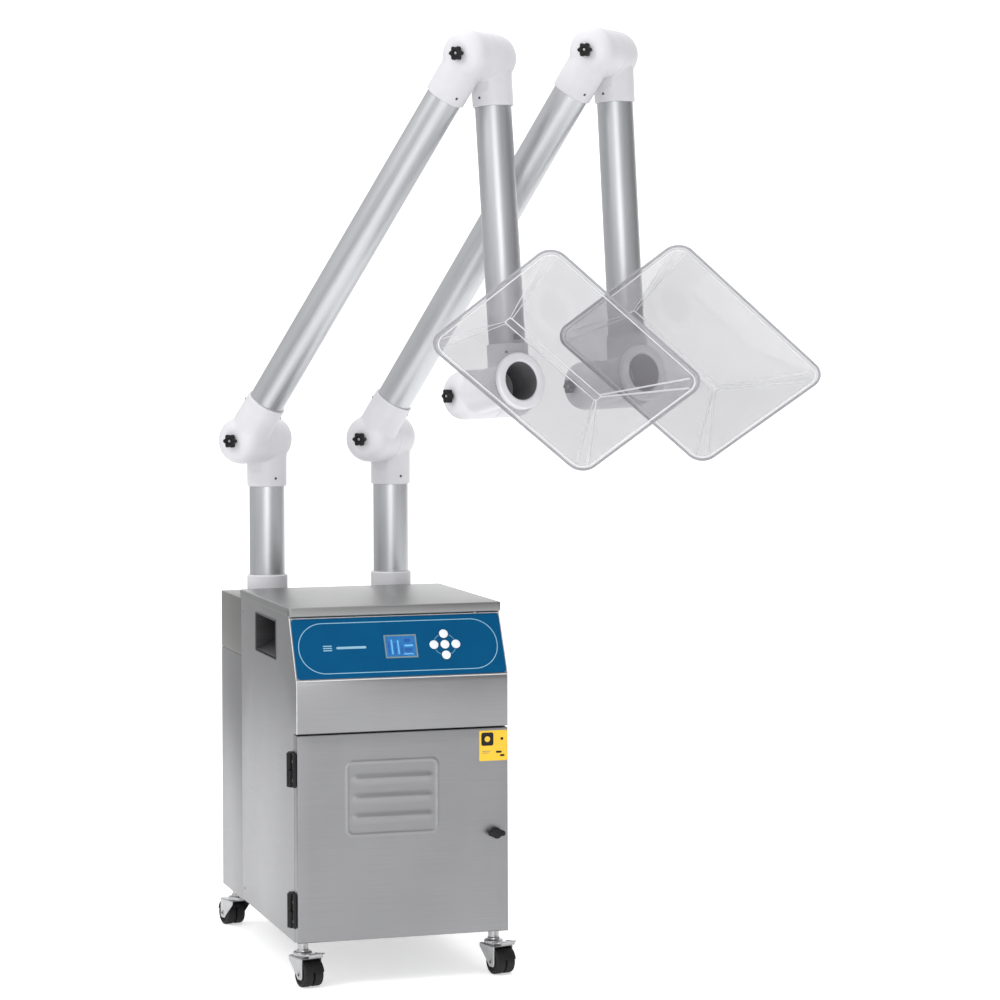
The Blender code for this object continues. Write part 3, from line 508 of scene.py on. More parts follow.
def side_trim():
    """The rivets that the photograph shows and the seal that the door needs."""
    points = rounded_rectangle(0.4, 0.385, 0.012, 6, (WIDTH / 2, 0.29))
    path = [(x, DOOR_THICK - 0.0006, z) for x, z in points]
    seal = sweep("door_seal", path, 0.0024, FOAM, HOME, True, 10, 0.7)
    seal.location.y += 0.0016
    place(seal, "cabinet", "black_rubber")
    for index, (x, facing) in enumerate(((0.0, -1), (WIDTH, 1))):
        for k, (y, z) in enumerate(((0.49, 0.69), (0.49, 0.11))):
            spot = HOME @ shift(x, y, z) @ spin(facing * 90, "Y")
            profile = [(0, -0.0005), (0.0032, -0.0005), (0.0032, 0.0003), (0.0014, 0.001), (0, 0.001)]
            rivet = lathe(f"side_rivet_{index}_{k}", profile, STEEL, spot, FINE, 0.0006)
            place(rivet, "cabinet", "brushed_steel")


def handle_cup(side):
    """A pressed grip in the side, with a floor that slopes outwards, and the rolled rim around it; both are in a
    much darker steel, painted shade of the recess.
    """
    y0, y1 = HANDLE_Y[0] + GAP, HANDLE_Y[1] - GAP
    z0, z1 = HANDLE_Z[0] + GAP, HANDLE_Z[1] - GAP
    wall, slope = 0.0016, 0.03
    outer = [(0.0, z0), (HANDLE_DEEP, z0 + slope), (HANDLE_DEEP, z1), (0.0, z1)]
    back = HANDLE_DEEP - wall
    inner = [(-0.01, z0 + wall - 0.005), (back, z0 + slope + wall), (back, z1 - wall), (-0.01, z1 - wall)]
    mirror = HERE
    if side == "right":
        mirror = shift(WIDTH, 0, 0) @ Matrix.Scale(-1, 4, (1, 0, 0))
    # the cup and its rim are in dark steel: painted shade of the recess
    cup = prism(f"handle_recess_{side}", fillet(outer, 0.004, True, 3), y1 - y0, RECESS_SHADE, HERE)
    hollow = prism("hollow", fillet(inner, 0.004, True, 3), y1 - y0 - 2 * wall, None, HERE)
    for thing, start in ((cup, y0), (hollow, y0 + wall)):
        thing.data.transform(mirror @ Matrix(((1, 0, 0, 0), (0, 0, 1, start), (0, 1, 0, 0), (0, 0, 0, 1))))
        if side == "left":
            thing.data.flip_normals()
        thing.matrix_world = HOME
    combine(cup, [hollow])
    place(cup, "cabinet", "brushed_steel", f"handle_cup_{side}")
    x = -0.0002 if side == "left" else WIDTH + 0.0002
    outline = rounded_rectangle(y1 - y0 + 0.004, z1 - z0 + 0.004, 0.004, 5, ((y0 + y1) / 2, (z0 + z1) / 2))
    rim = sweep(f"handle_rim_{side}", [(x, y, z) for y, z in outline], 0.0013, RECESS_SHADE, HOME, True, 8)
    place(rim, "cabinet", "brushed_steel")


def fascia_frame():
    """Local X to the right, local Y up the slope from the bend, local Z out of the fascia."""
    rise = Vector((0.0, SETBACK, FASCIA_TOP - FASCIA_BEND)).normalized()
    out = Vector((1.0, 0.0, 0.0)).cross(rise)
    turn = Matrix((Vector((1.0, 0.0, 0.0)), rise, out)).transposed().to_4x4()
    return HOME @ shift(0.0, 0.0, FASCIA_BEND) @ turn


def button_centres():
    x, y = BUTTON_CENTRE
    pitch = BUTTON_PITCH
    arrows = {"up": (x, y + pitch), "down": (x, y - pitch), "left": (x - pitch, y), "right": (x + pitch, y)}
    return {**arrows, "centre": (x, y)}


SLOPE = fascia_frame()
BUTTONS = button_centres()


def front_fascia():
    outer = [(0.0, FASCIA_LOW), (0.0, FASCIA_BEND), (SETBACK, FASCIA_TOP)]
    inner = [(y + SHEET, z) for y, z in reversed(outer)]
    bend_out = fillet(outer, 0.01, steps=6)
    bend_in = fillet(inner, 0.009, steps=6)
    panel = prism("fascia_panel", bend_out + bend_in, WIDTH, STEEL, HOME @ SIDEWAYS)
    soften(panel, 0.0007, 2, 50)
    width, height = DISPLAY_SIZE
    size = (width + 0.002, height + 0.002)
    cutters = [tile("window", size, 0.001, 2, DISPLAY_CENTRE, 2 * PAST, None, SLOPE @ shift(0, 0, -PAST))]
    for x, y in BUTTONS.values():
        cutters.append(cylinder("bore", 0.0065, -PAST, PAST, SLOPE @ shift(x, y, 0), FINE))
    combine(panel, cutters)
    place(panel, "cabinet", "brushed_steel", "front_fascia")
    # thin bright beads along the fascia's side bends, its lower bend and its top edge under the lid: painted
    # highlights on the bends, and painted light on the top strip that the lid's overhang shades
    bead = 0.0012
    highlight_lines = {
        "left": [(0.0011, y + 0.0006, z) for y, z in bend_out],
        "right": [(WIDTH - 0.0011, y + 0.0006, z) for y, z in bend_out],
        "bend": [(x, 0.0003, FASCIA_BEND + bead) for x in (0.001, WIDTH - 0.001)],
        "top": [(x, SETBACK - 0.0006, FASCIA_TOP - bead) for x in (0.001, WIDTH - 0.001)],
    }
    for where, path in highlight_lines.items():
        fold = sweep(f"fascia_highlight_{where}", path, bead, BEND_HIGHLIGHT, HOME, False, 8)
        place(fold, "cabinet", "brushed_steel")


def control_film():
    low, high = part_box("control_overlay")
    x0, x1 = low.x - corner.x, high.x - corner.x
    centre = ((x0 + x1) / 2, (OVERLAY_LOW + OVERLAY_HIGH) / 2)
    size = (x1 - x0, OVERLAY_HIGH - OVERLAY_LOW)
    film = tile("control_film", size, 0.0075, 8, centre, 0.001, FILM, SLOPE @ shift(0, 0, GAP))
    width, tall = DISPLAY_SIZE
    size = (width + 0.0006, tall + 0.0006)
    cutters = [tile("window", size, 0.001, 2, DISPLAY_CENTRE, 0.01, None, SLOPE @ shift(0, 0, -0.004))]
    for x, y in BUTTONS.values():
        cutters.append(cylinder("bore", BUTTON_RADIUS + 0.0004, -0.004, 0.006, SLOPE @ shift(x, y, 0), 40))
    combine(film, cutters)
    place(film, "cabinet", "blue_film", "control_overlay")

    above = GAP + 0.00112
    ring = rounded_rectangle(0.4035, 0.1055, 0.0515, 24, (0.2143, 0.0675))
    line = sweep("film_line", [(x, y, above) for x, y in ring], 0.00085, PRINT, SLOPE, True, 8, 0.25)
    place(line, "cabinet", "blue_film")
    arc_start, arc_long, arc_steps = 27, 36, 9
    for k, name in enumerate(list(BUTTONS)[:4]):
        turns = [k * 90 + arc_start + arc_long * step / arc_steps for step in range(arc_steps + 1)]
        arc = [(*round_point(BUTTON_PITCH, turn, BUTTON_CENTRE), above) for turn in turns]
        piece = sweep(f"film_arc_{name}", arc, 0.00045, PRINT, SLOPE, False, 6, 0.3)
        place(piece, "cabinet", "blue_film")
    # plain bars stand where the photograph has lettering
    bars = {k: ((0.018, 0.0022), 0.001, 4, (0.07, 0.063 + 0.0046 * k)) for k in range(3)}
    bars["long"] = ((0.06, 0.005), 0.0022, 6, (0.118, 0.0676))
    print_on = SLOPE @ shift(0, 0, above - 0.0001)
    for which, (size, radius, steps, centre) in bars.items():
        piece = tile(f"film_bar_{which}", size, radius, steps, centre, PRINT_THICK, PRINT, print_on)
        place(piece, "cabinet", "blue_film")


def display():
    width, height = DISPLAY_SIZE
    centre = DISPLAY_CENTRE
    sunk = SLOPE @ shift(0, 0, -0.006)
    bezel = tile("display_bezel", DISPLAY_SIZE, 0.0012, 3, centre, 0.0078, BEZEL, sunk)
    inset = SLOPE @ shift(0, 0, 0.001)
    combine(bezel, [tile("pane", (width - 0.006, height - 0.006), 0.0008, 3, centre, 0.01, None, inset)])
    place(bezel, "cabinet", "display_blue", "display_module")
    size = (width - 0.0064, height - 0.0064)
    glass = tile("display_glass", size, 0.0008, 3, centre, 0.0006, DISPLAY, inset)
    place(glass, "cabinet", "display_blue")
    cx, cy = centre
    marks = []
    for k, tall in enumerate((0.026, 0.031, 0.022, 0.029, 0.017)):
        middle = (cx - 0.0245 + 0.0064 * k, cy - 0.0165 + tall / 2)
        marks.append((f"display_bar_{k}", (0.003, tall), 0.0004, middle, k % 2))
    fields = [
        (0.014, 0.012, 0.012, 0.007), (0.016, 0.001, 0.018, 0.004), (0.015, -0.008, 0.014, 0.006),
        (0.014, -0.0165, 0.02, 0.0024),
    ]
    for k, (dx, dy, wide, tall) in enumerate(fields):
        marks.append((f"display_field_{k}", (wide, tall), 0.0006, (cx + dx, cy + dy), k % 2))
    on_glass = SLOPE @ shift(0, 0, 0.0016)
    for name, size, radius, middle, pale in marks:
        ink = DISPLAY_MARK if pale else DARK_MARK
        piece = tile(name, size, radius, 2, middle, PRINT_THICK, ink, on_glass)
        place(piece, "cabinet", "display_blue")


def buttons():
    for name, (x, y) in BUTTONS.items():
        profile = [
            (0.0, -0.006), (0.006, -0.006), (0.006, 0.0016), (BUTTON_RADIUS, 0.0016),
            (BUTTON_RADIUS, 0.0031), (BUTTON_RADIUS - 0.0012, 0.004), (0.0045, 0.0043), (0.0, 0.0044),
        ]
        cap = lathe(f"key_{name}", profile, KEYCAP, SLOPE @ shift(x, y, 0), 48, 0.0006)
        place(cap, f"button_{name}", "button_white", f"button_{name}")


def top_lid():
    """The lid with its folded edges, hollowed by two cuts, one after the other."""
    low = (-0.003, LID_FRONT, FASCIA_TOP + 0.0012)
    high = (WIDTH + 0.003, DEPTH - 0.001, LID_TOP)
    size = (high[0] - low[0], high[1] - low[1])
    centre = ((low[0] + high[0]) / 2, (low[1] + high[1]) / 2)
    lid = tile("lid", size, 0.007, 6, centre, high[2] - low[2], LID_STEEL, HOME @ shift(0, 0, low[2]))
    soften(lid, 0.0038, 4, 50)
    near = (-PAST, LID_FRONT + 0.0052, SHELL_TOP - PAST)
    past = (WIDTH + PAST, DEPTH + PAST, SHELL_TOP + GAP)
    combine(lid, [block("under", near, past, None)])
    near = (0.004, LID_FRONT + 0.008, SHELL_TOP - 0.012)
    past = (WIDTH - 0.004, DEPTH - 0.01, LID_TOP - 0.0035)
    combine(lid, [block("inside", near, past, None)])
    place(lid, "cabinet", "lid_steel", "top_lid")


def rear_housing():
    """The duct box that carries the arms, the casing under it and the louvres in the casing's back."""
    front = DEPTH + GAP
    duct = block("duct_box", (0.0, front, DUCT_SPLIT), (WIDTH, REAR, DUCT_TOP), DUCT_STEEL)
    soften(duct, 0.002, 4)
    low, high = (SHEET, front + SHEET, DUCT_SPLIT - PAST), (WIDTH - SHEET, REAR - SHEET, DUCT_TOP - SHEET)
    cutters = [block("air", low, high, None)]
    for arm in ARMS:
        spot = shift(*JOINTS[f"{arm}_swivel"]["pos_m"][:2], 0.0)
        cutters.append(cylinder("hole", 0.034, DUCT_TOP - PAST, DUCT_TOP + PAST, spot, 64))
    combine(duct, cutters)
    place(duct, "cabinet", "duct_steel", "rear_duct_box")

    base = BOTTOM - 0.003
    cover = block("rear_casing", (0.0, front, base), (WIDTH, REAR, DUCT_SPLIT - GAP), STEEL)
    soften(cover, 0.002, 4)
    low, high = (SHEET, front + SHEET, base + SHEET), (WIDTH - SHEET, REAR - SHEET, DUCT_SPLIT + PAST)
    cutters = [block("air", low, high, None)]
    cutters.append(duct_way(front - PAST, front + PAST))
    behind = HOME @ shift(0, REAR + 0.004, 0) @ FORWARD
    for row in range(9):
        middle = (0.3, 0.455 + 0.0125 * row)
        cutters.append(tile("slot", (0.15, 0.005), 0.00245, 5, middle, 0.01, None, behind))
    cutters.append(tile("inlet", (0.028, 0.02), 0.002, 4, (0.07, 0.15), 0.01, None, behind))
    combine(cover, cutters)
    place(cover, "cabinet", "brushed_steel", "rear_cover")
    back_details()


def back_details():
    """What the photograph doesn't show: a power inlet, a switch, a rating plate without text and screws."""
    back = HOME @ shift(0, REAR, 0) @ FLIP_X @ FORWARD
    inlet, switch = (-0.07, 0.15), (-0.115, 0.15)
    flange = tile("inlet_flange", (0.046, 0.03), 0.004, 5, inlet, 0.0022, BLACK, back)
    soften(flange, 0.0006, 2)
    sunk = back @ shift(0, 0, -0.01)
    combine(flange, [tile("mouth", (0.026, 0.018), 0.003, 4, inlet, 0.02, None, sunk)])
    place(flange, "cabinet", "black_plastic")
    core = tile("inlet_core", (0.0215, 0.0135), 0.002, 4, inlet, 0.016, BLACK, back @ shift(0, 0, -0.018))
    soften(core, 0.0004, 2)
    place(core, "cabinet", "black_plastic")
    for k, (dx, dz) in enumerate(((-0.007, -0.002), (0.0, 0.002), (0.007, -0.002))):
        middle = (inlet[0] + dx, inlet[1] + dz)
        seat = back @ shift(0, 0, -0.013)
        pin = tile(f"inlet_pin_{k}", (0.0022, 0.0044), 0.0006, 3, middle, 0.012, ZINC, seat)
        place(pin, "cabinet", "zinc_plate")
    rocker = tile("mains_switch_frame", (0.023, 0.03), 0.002, 4, switch, 0.002, BLACK, back)
    soften(rocker, 0.0006, 2)
    place(rocker, "cabinet", "black_plastic")
    tilt = back @ shift(*switch, 0.0018) @ spin(6, "X")
    key = tile("mains_switch_rocker", (0.0165, 0.0235), 0.0015, 3, (0.0, 0.0), 0.003, BLACK, tilt)
    soften(key, 0.0008, 3)
    place(key, "cabinet", "black_plastic")
    plate = tile("rear_plate", (0.07, 0.04), 0.003, 4, (-0.11, 0.235), 0.0005, ZINC, back)
    place(plate, "cabinet", "zinc_plate")
    spots = [(x, z) for z in (0.105, 0.575, 0.34, 0.62) for x in (-0.015, -0.415)] + [(-0.215, 0.62)]
    for k, (x, z) in enumerate(spots):
        screw(f"rear_screw_{k}", "cabinet", back @ shift(x, z, 0.0), 0.0036, ZINC, "zinc_plate")


# --- door ---
def door_height(x, z):
    """How far the pressed panel in the middle of the door stands out: a rim with plain flutes."""
    cx, cz, hx, hz, radius = 0.1925, 0.365, 0.0945, 0.075, 0.016
    dx = max(abs(x - cx) - (hx - radius), 0.0)
    dz = max(abs(z - cz) - (hz - radius), 0.0)
    edge = radius - math.hypot(dx, dz)
    if dx == 0.0 or dz == 0.0:
        edge = min(hx - abs(x - cx), hz - abs(z - cz))
    if edge <= 0.0:
        return 0.0
    rim_inset, rim_wide, rim_height = 0.0035, 0.0022, 0.0011
    flute_pitch, flute_wide, flute_height = 0.038, 0.0062, 0.0018
    flute_half, flute_fade = hx - 0.017, 0.0025
    rim = math.exp(-(((edge - rim_inset) / rim_wide) ** 2)) * rim_height
    flutes = 0.0
    for middle in (cz + flute_pitch, cz, cz - flute_pitch):
        reach = 1.0 / (1.0 + math.exp((abs(x - cx) - flute_half) / flute_fade))
        flutes += math.exp(-(((z - middle) / flute_wide) ** 2)) * reach * flute_height
    return rim + flutes


def door_stops(low, high, dense_low, dense_high, step):
    """Grid stops with their depths: folded edges at both ends and dense rows over the pressed panel."""
    radius = 0.0022
    fold = [(low, DOOR_THICK)]
    for k in range(1, 6):
        angle = math.radians(18 * k)
        fold.append((low + radius * (1 - math.cos(angle)), radius * (1 - math.sin(angle))))
    count = round((dense_high - dense_low) / step)
    dense = [dense_low + (dense_high - dense_low) * k / count for k in range(count + 1)]
    middle = [(value, 0.0) for value in (low + 0.03, *dense, high - 0.03)]
    return fold + middle + [(high - (value - low), depth) for value, depth in reversed(fold)]


def door_leaf():
    columns = door_stops(0.001, WIDTH - 0.001, 0.094, 0.291, 0.0024)
    lines = door_stops(BOTTOM + 0.002, DOOR_TOP, 0.286, 0.444, 0.002)
    bm = bmesh.new()
    grid = []
    for x, depth_x in columns:
        row = []
        for z, depth_z in lines:
            deep = max(depth_x, depth_z)
            raised = door_height(x, z) if deep == 0.0 else 0.0
            row.append(bm.verts.new((x, deep - raised, z)))
        grid.append(row)
    for first, second in zip(grid, grid[1:]):
        for k in range(len(lines) - 1):
            bm.faces.new([first[k], second[k], second[k + 1], first[k + 1]])
    leaf = finish_mesh("door_leaf", bm, STEEL, HOME)
    middle = leaf.data.polygons[len(leaf.data.polygons) // 2]
    if middle.normal.y > 0.0:
        leaf.data.flip_normals()
    thick = leaf.modifiers.new("sheet", "SOLIDIFY")
    thick.thickness = 0.0016
    thick.offset = -1.0
    settle(leaf)
    x, z = LATCH
    combine(leaf, [cylinder("bore", 0.006, -0.01, 0.03, HOME @ shift(x, 0.0, z) @ FORWARD, 32)])
    place(leaf, "door", "brushed_steel", "door")


def door_label():
    """A plain yellow label with generic marks, where the photograph has a printed one."""
    face = HOME @ FORWARD
    size, centre = (0.0575, 0.06), (0.3985, 0.457)
    label = tile("door_label", size, 0.0025, 5, centre, 0.0003, LABEL, face @ shift(0, 0, 0.0001))
    place(label, "door", "brushed_steel")
    top, ink = face @ shift(0, 0, 0.0004), 0.00015
    square = (0.3865, 0.47)
    marks = {
        "square": ((0.025, 0.026), 0.004, 5, square, BLACK),
        "disc": ((0.006, 0.006), 0.0029, 5, (0.4165, 0.47), BLACK),
        "bar_1": ((0.012, 0.0042), 0.0018, 4, (0.41, 0.444), BLACK),
        "bar_2": ((0.0095, 0.004), 0.0018, 4, (0.417, 0.437), BLACK),
        "line_1": ((0.017, 0.001), 0.0004, 2, (0.3845, 0.446), MOTOR),
        "line_2": ((0.014, 0.001), 0.0004, 2, (0.383, 0.4425), MOTOR),
    }
    for name, (size, radius, steps, centre, material) in marks.items():
        piece = tile(f"label_{name}", size, radius, steps, centre, ink, material, top)
        place(piece, "door", "black_plastic")
    size = (0.011, 0.011)
    mark = tile("label_square_mark", size, 0.005, 5, square, 0.0001, LABEL, top @ shift(0, 0, ink))
    place(mark, "door", "brushed_steel")


def hinge(level, side):
    """One half of a black moulded hinge; side +1 is the cabinet's half, -1 the door's."""
    node = f"hinge_base_{level}" if side > 0 else f"hinge_wing_{level}"
    body = "cabinet" if side > 0 else "door"
    line = JOINTS["door_hinge"]["pos_m"]
    bottom = HINGE_BOTTOMS[level]
    here = shift(line[0], line[1], 0.0)
    middle = bottom + HINGE_HEIGHT / 2
    knuckle = (middle + GAP / 2, bottom + HINGE_HEIGHT) if side > 0 else (bottom, middle - GAP / 2)
    near = 0.0072 * side
    far = 0.025 if side > 0 else -0.022
    x0, x1 = 0.002, 0.0085 - GAP
    low, high = (x0, min(near, far), bottom), (x1, max(near, far), bottom + HINGE_HEIGHT)
    plate = block(f"{node}_plate", low, high, BLACK, here)
    soften(plate, 0.0014, 3)
    web_y = (min(0.0, near + side * 0.004), max(0.0, near + side * 0.004))
    web = block("web", (-0.003, web_y[0], knuckle[0]), (x1 - 0.0008, web_y[1], knuckle[1]), None, here)
    barrel = cylinder("barrel", 0.0062, *knuckle, here, 40, 0.0008)
    combine(plate, [web, barrel], "UNION")
    place(plate, body, "black_plastic", node)
    turn = spin(-90, "Y")
    for k, z in enumerate((bottom + 0.014, bottom + HINGE_HEIGHT - 0.014)):
        spot = here @ shift(x0 + 0.0002, (near + far) / 2 + 0.002 * side, z) @ turn
        screw(f"{node}_screw_{k}", body, spot, 0.003)


def latch():
    """The quarter-turn knob that holds the door shut, and the washer under it."""
    x, z = LATCH
    seat = HOME @ shift(x, 0.0, z) @ FORWARD
    stalk = [(0, -0.016), (0.005, -0.016), (0.005, GAP)]
    profile = stalk + [(0.0105, GAP), (0.0105, 0.017), (0.0088, 0.0205), (0, 0.021)]
    knob = lathe("latch_turn_knob", profile, BLACK, seat, 48, 0.0012)
    wing = tile("wing", (0.033, 0.011), 0.005, 6, (0.0, 0.0), 0.013, None, seat @ shift(0, 0, 0.0072))
    soften(wing, 0.0016, 3)
    combine(knob, [wing], "UNION")
    place(knob, "latch", "black_plastic", "latch_knob")
    flat = [(0.0066, 0.0001), (0.0128, 0.0001), (0.0128, 0.0003), (0.0066, 0.0003)]
    place(lathe("latch_washer", flat, STEEL, seat, 40), "door", "brushed_steel")


# --- castors ---
def castor(row, side):
    """A bent zinc fork under a stem, with two black treads between its cheeks."""
    name = f"castor_{row}_{side}"
    x = STEM_INSET if side == "left" else WIDTH - STEM_INSET
    stem = HOME @ shift(x, STEM_Y[row], 0) @ spin(CASTOR_YAW[row], "Z")
    top = (BOTTOM if row == "front" else BOTTOM - 0.003) - GAP
    inside = WHEEL_GAP / 2 + WHEEL_WIDTH + GAP
    outside = inside + FORK_SHEET
    cheek = [
        (0.019, FORK_TOP), (0.019, FORK_TOP - 0.008), (-0.015, 0.02), (-0.02, 0.0145), (-0.034, 0.0145),
        (-0.0375, 0.019), (-0.0375, FORK_TOP),
    ]
    outline = fillet(cheek, 0.0035, True, 5)
    fork = prism(f"{name}_bracket", outline, 2 * outside, ZINC, stem @ shift(-outside, 0, 0) @ SIDEWAYS)
    soften(fork, 0.0021, 4, 50)
    room = block("room", (-inside, -0.08, -0.01), (inside, 0.06, FORK_TOP - FORK_SHEET), None, stem)
    soften(room, 0.0012, 3, 50)
    combine(fork, [room])
    post = [
        (0, FORK_TOP - 0.001), (0.019, FORK_TOP - 0.001), (0.019, 0.0625), (0.0176, 0.064),
        (0.0128, 0.0645), (0.0122, 0.068), (0.0108, 0.0692), (0.0108, top), (0, top),
    ]
    combine(fork, [lathe("post", post, None, stem, 48, 0.0008)], "UNION")
    axle = shift(0, -CASTOR_TRAIL, WHEEL_RADIUS) @ spin(90, "Y")
    combine(fork, [cylinder("bore", 0.0042, -0.03, 0.03, stem @ axle, 32)])
    place(fork, name, "zinc_plate", f"{name}_fork")
    wheels(name, stem @ axle)
    mudguard(name, stem)
    if row == "front":
        pedal(name, stem)


def wheels(name, matrix):
    """Two treads turned as one with their axle, and a nut around each end of it outside the fork."""
    inner, outer = WHEEL_GAP / 2, WHEEL_GAP / 2 + WHEEL_WIDTH
    rim = WHEEL_RADIUS
    reach = outer + GAP + FORK_SHEET
    end = reach + 0.0014
    half = [
        (0.0036, inner), (rim - 0.003, inner), (rim - 0.0006, inner + 0.0008), (rim, inner + 0.003),
        (rim, outer - 0.003), (rim - 0.0008, outer - 0.0008), (rim - 0.003, outer),
        (rim - 0.007, outer), (rim - 0.008, outer - 0.0022), (0.0105, outer - 0.0022),
        (0.0095, outer - 0.0004), (0.007, outer), (0.0036, outer), (0.0036, end - 0.0006), (0.003, end),
        (0.0, end),
    ]
    mirrored = [(radius, -height) for radius, height in reversed(half)]
    pair = lathe(f"{name}_treads", mirrored + half, RUBBER, matrix, 72, 0.0005)
    place(pair, f"{name}_wheels", "black_rubber", f"{name}_wheels")
    nut = [(0.0037, 0.0001), (0.0062, 0.0001), (0.0062, 0.001), (0.0037, 0.0013)]
    nut = [(radius, reach + height) for radius, height in nut]
    for side, turn in (("left", 180), ("right", 0)):
        cap = lathe(f"{name}_axle_cap_{side}", nut, ZINC, matrix @ spin(turn, "X"), 6)
        place(cap, f"{name}_wheels", "zinc_plate")


def mudguard(name, stem):
    """The dark cover over the treads, inside the fork: a bent strip."""
    hub = (-CASTOR_TRAIL, WHEEL_RADIUS)
    inner, outer = WHEEL_RADIUS + 0.001, WHEEL_RADIUS + 0.0026
    start, stop, pieces = 30, 168, 24
    arc_out, arc_in = [], []
    for k in range(pieces + 1):
        turn = start + (stop - start) * k / pieces
        arc_out.append(round_point(outer, turn, hub))
        arc_in.append(round_point(inner, turn, hub))
    half = WHEEL_GAP / 2 + WHEEL_WIDTH - 0.0003
    place_guard = stem @ shift(-half, 0, 0) @ SIDEWAYS
    guard = prism(f"{name}_guard", arc_out + arc_in[::-1], 2 * half, BLACK, place_guard)
    soften(guard, 0.0004, 2, 50)
    place(guard, name, "black_plastic")


def pedal(name, stem):
    """The brake's foot plate, with its lip turned down over the treads and two ribs pressed in."""
    press = JOINTS[f"{name}_brake_press"]["pos_m"]
    pivot = shift(*press) @ stem.to_3x3().normalized().to_4x4() @ spin(-8, "X")
    outline = [
        (-0.021, 0.01), (-0.021, -0.004), (-0.023, -0.015), (-0.015, -0.02), (0.015, -0.02),
        (0.023, -0.015), (0.021, -0.004), (0.021, 0.01),
    ]
    plate = prism(f"{name}_pedal", fillet(outline, 0.004, True, 5), 0.003, ZINC, pivot)
    soften(plate, 0.001, 3)
    ribs = []
    for x in (-0.011, 0.011):
        raised = pivot @ shift(0, 0, 0.0022)
        ribs.append(tile("rib", (0.004, 0.018), 0.0019, 5, (x, -0.004), 0.002, None, raised))
    lip = block("lip", (-0.015, -0.0199, -0.0046), (0.015, -0.0181, 0.002), None, pivot)
    combine(plate, ribs + [lip], "UNION")
    place(plate, f"{name}_brake", "zinc_plate", f"{name}_brake")


# --- arms ---
def elbow_mesh(open_side, half_spacing, reach):
    """Half of a ball elbow: a domed drum on local Y and a socket along local +Z, moulded into one.

    The outside is fused and smoothed as one skin, then the mouths and bores are cut crisply.
    """
    mouth = half_spacing - GAP / 2
    drum_profile = [
        (0.0, -DOME), (0.024, -DOME + 0.0002), (0.034, -DOME + 0.0032), (0.042, -DOME + 0.009),
        (0.0475, -DOME + 0.0175), (0.05, -DOME + 0.03), (0.0502, mouth + 0.008), (0.0, mouth + 0.008),
    ]
    facing = spin(-open_side * 90, "X")
    drum = lathe("drum", drum_profile, None, facing, ROUND, 0.006)
    past = reach + 0.008
    stem = [(0.0, 0.0), (SOCKET_RADIUS + 0.0008, 0.0), (SOCKET_RADIUS + 0.0002, past), (0.0, past)]
    combine(drum, [lathe("socket", stem, None, HERE, ROUND)], "UNION")
    skin = drum.modifiers.new("skin", "REMESH")
    skin.mode = "VOXEL"
    skin.voxel_size = 0.002
    relax = drum.modifiers.new("relax", "SMOOTH")
    relax.factor = 0.5
    relax.iterations = 14
    settle(drum)
    wall = DRUM_WALL
    core = [
        (0.0, -DOME + wall), (0.025, -DOME + wall), (0.037, -DOME + wall + 0.0055),
        (DRUM_RADIUS - wall, -DOME + 0.031), (DRUM_RADIUS - wall, mouth), (DRUM_RADIUS - 0.0012, mouth),
        (DRUM_RADIUS + 0.002, mouth - 0.0022), (DRUM_RADIUS + 0.02, mouth - 0.0022),
        (DRUM_RADIUS + 0.02, mouth + 0.02), (0.0, mouth + 0.02),
    ]
    bore = TUBE_RADIUS + GAP
    floor = reach - SOCKET_OVERLAP
    way = [
        (0.0, 0.0), (0.0345, 0.0), (0.0345, floor), (bore, floor), (bore, reach),
        (SOCKET_RADIUS - 0.001, reach), (SOCKET_RADIUS + 0.0014, reach - 0.0018),
        (SOCKET_RADIUS + 0.02, reach - 0.0018), (SOCKET_RADIUS + 0.02, reach + 0.02),
        (0.0, reach + 0.02),
    ]
    if reach > SOCKET_LENGTH:
        past = reach + 0.02
        way = [(0.0, 0.0), (0.0345, 0.0), (RING_BORE, 0.11), (RING_BORE, reach)]
        way += [(0.07, reach), (0.07, past), (0.0, past)]
    combine(drum, [lathe("core", core, None, facing, ROUND), lathe("way", way, None, HERE, ROUND)])
    mesh = drum.data
    mesh.transform(facing)
    bpy.data.objects.remove(drum, do_unlink=True)
    mesh.materials.clear()
    mesh.materials.append(WHITE)
    return mesh


NOZZLE_BODY = NOZZLE_REACH - 0.012 - HOOD_WALL - 0.0062
ELBOWS = {
    "left": elbow_mesh(-1, HALF_PIVOT, SOCKET_LENGTH),
    "right": elbow_mesh(1, HALF_PIVOT, SOCKET_LENGTH),
    "end_left": elbow_mesh(-1, HALF_END, SOCKET_LENGTH),
    "end_right": elbow_mesh(1, HALF_END, NOZZLE_BODY),
}


def elbow(name, kind, body, matrix, node, upside_down=False):
    """A copy of one of the four elbow halves, with its drum at the matrix's origin."""
    mesh = ELBOWS[kind].copy()
    thing = add_object(name, mesh, matrix @ spin(180 if upside_down else 0, "Y"))
    mesh.shade_smooth()
    mesh.set_sharp_from_angle(angle=math.radians(CRISP))
    return place(thing, body, "white_plastic", node)


def tube(name, bottom, top, body, matrix, node):
    """A plain aluminium tube between two heights along local Z."""
    inner = TUBE_RADIUS - TUBE_WALL
    profile = [(TUBE_RADIUS, bottom), (TUBE_RADIUS, top), (inner, top), (inner, bottom)]
    thing = lathe(name, profile, ALUMINIUM, matrix, ROUND, 0.0006)
    return place(thing, body, "satin_aluminium", node)


def socket_screws(name, body, matrix, first):
    """Two screws on opposite sides of a socket, the first one at this angle in degrees."""
    height = SOCKET_LENGTH - 0.017
    for k, angle in enumerate((first, first + 180)):
        spot = matrix @ spin(angle, "Z") @ shift(SOCKET_RADIUS - 0.0001, 0, height) @ spin(90, "Y")
        screw(f"{name}_screw_{k}", body, spot, 0.0028)


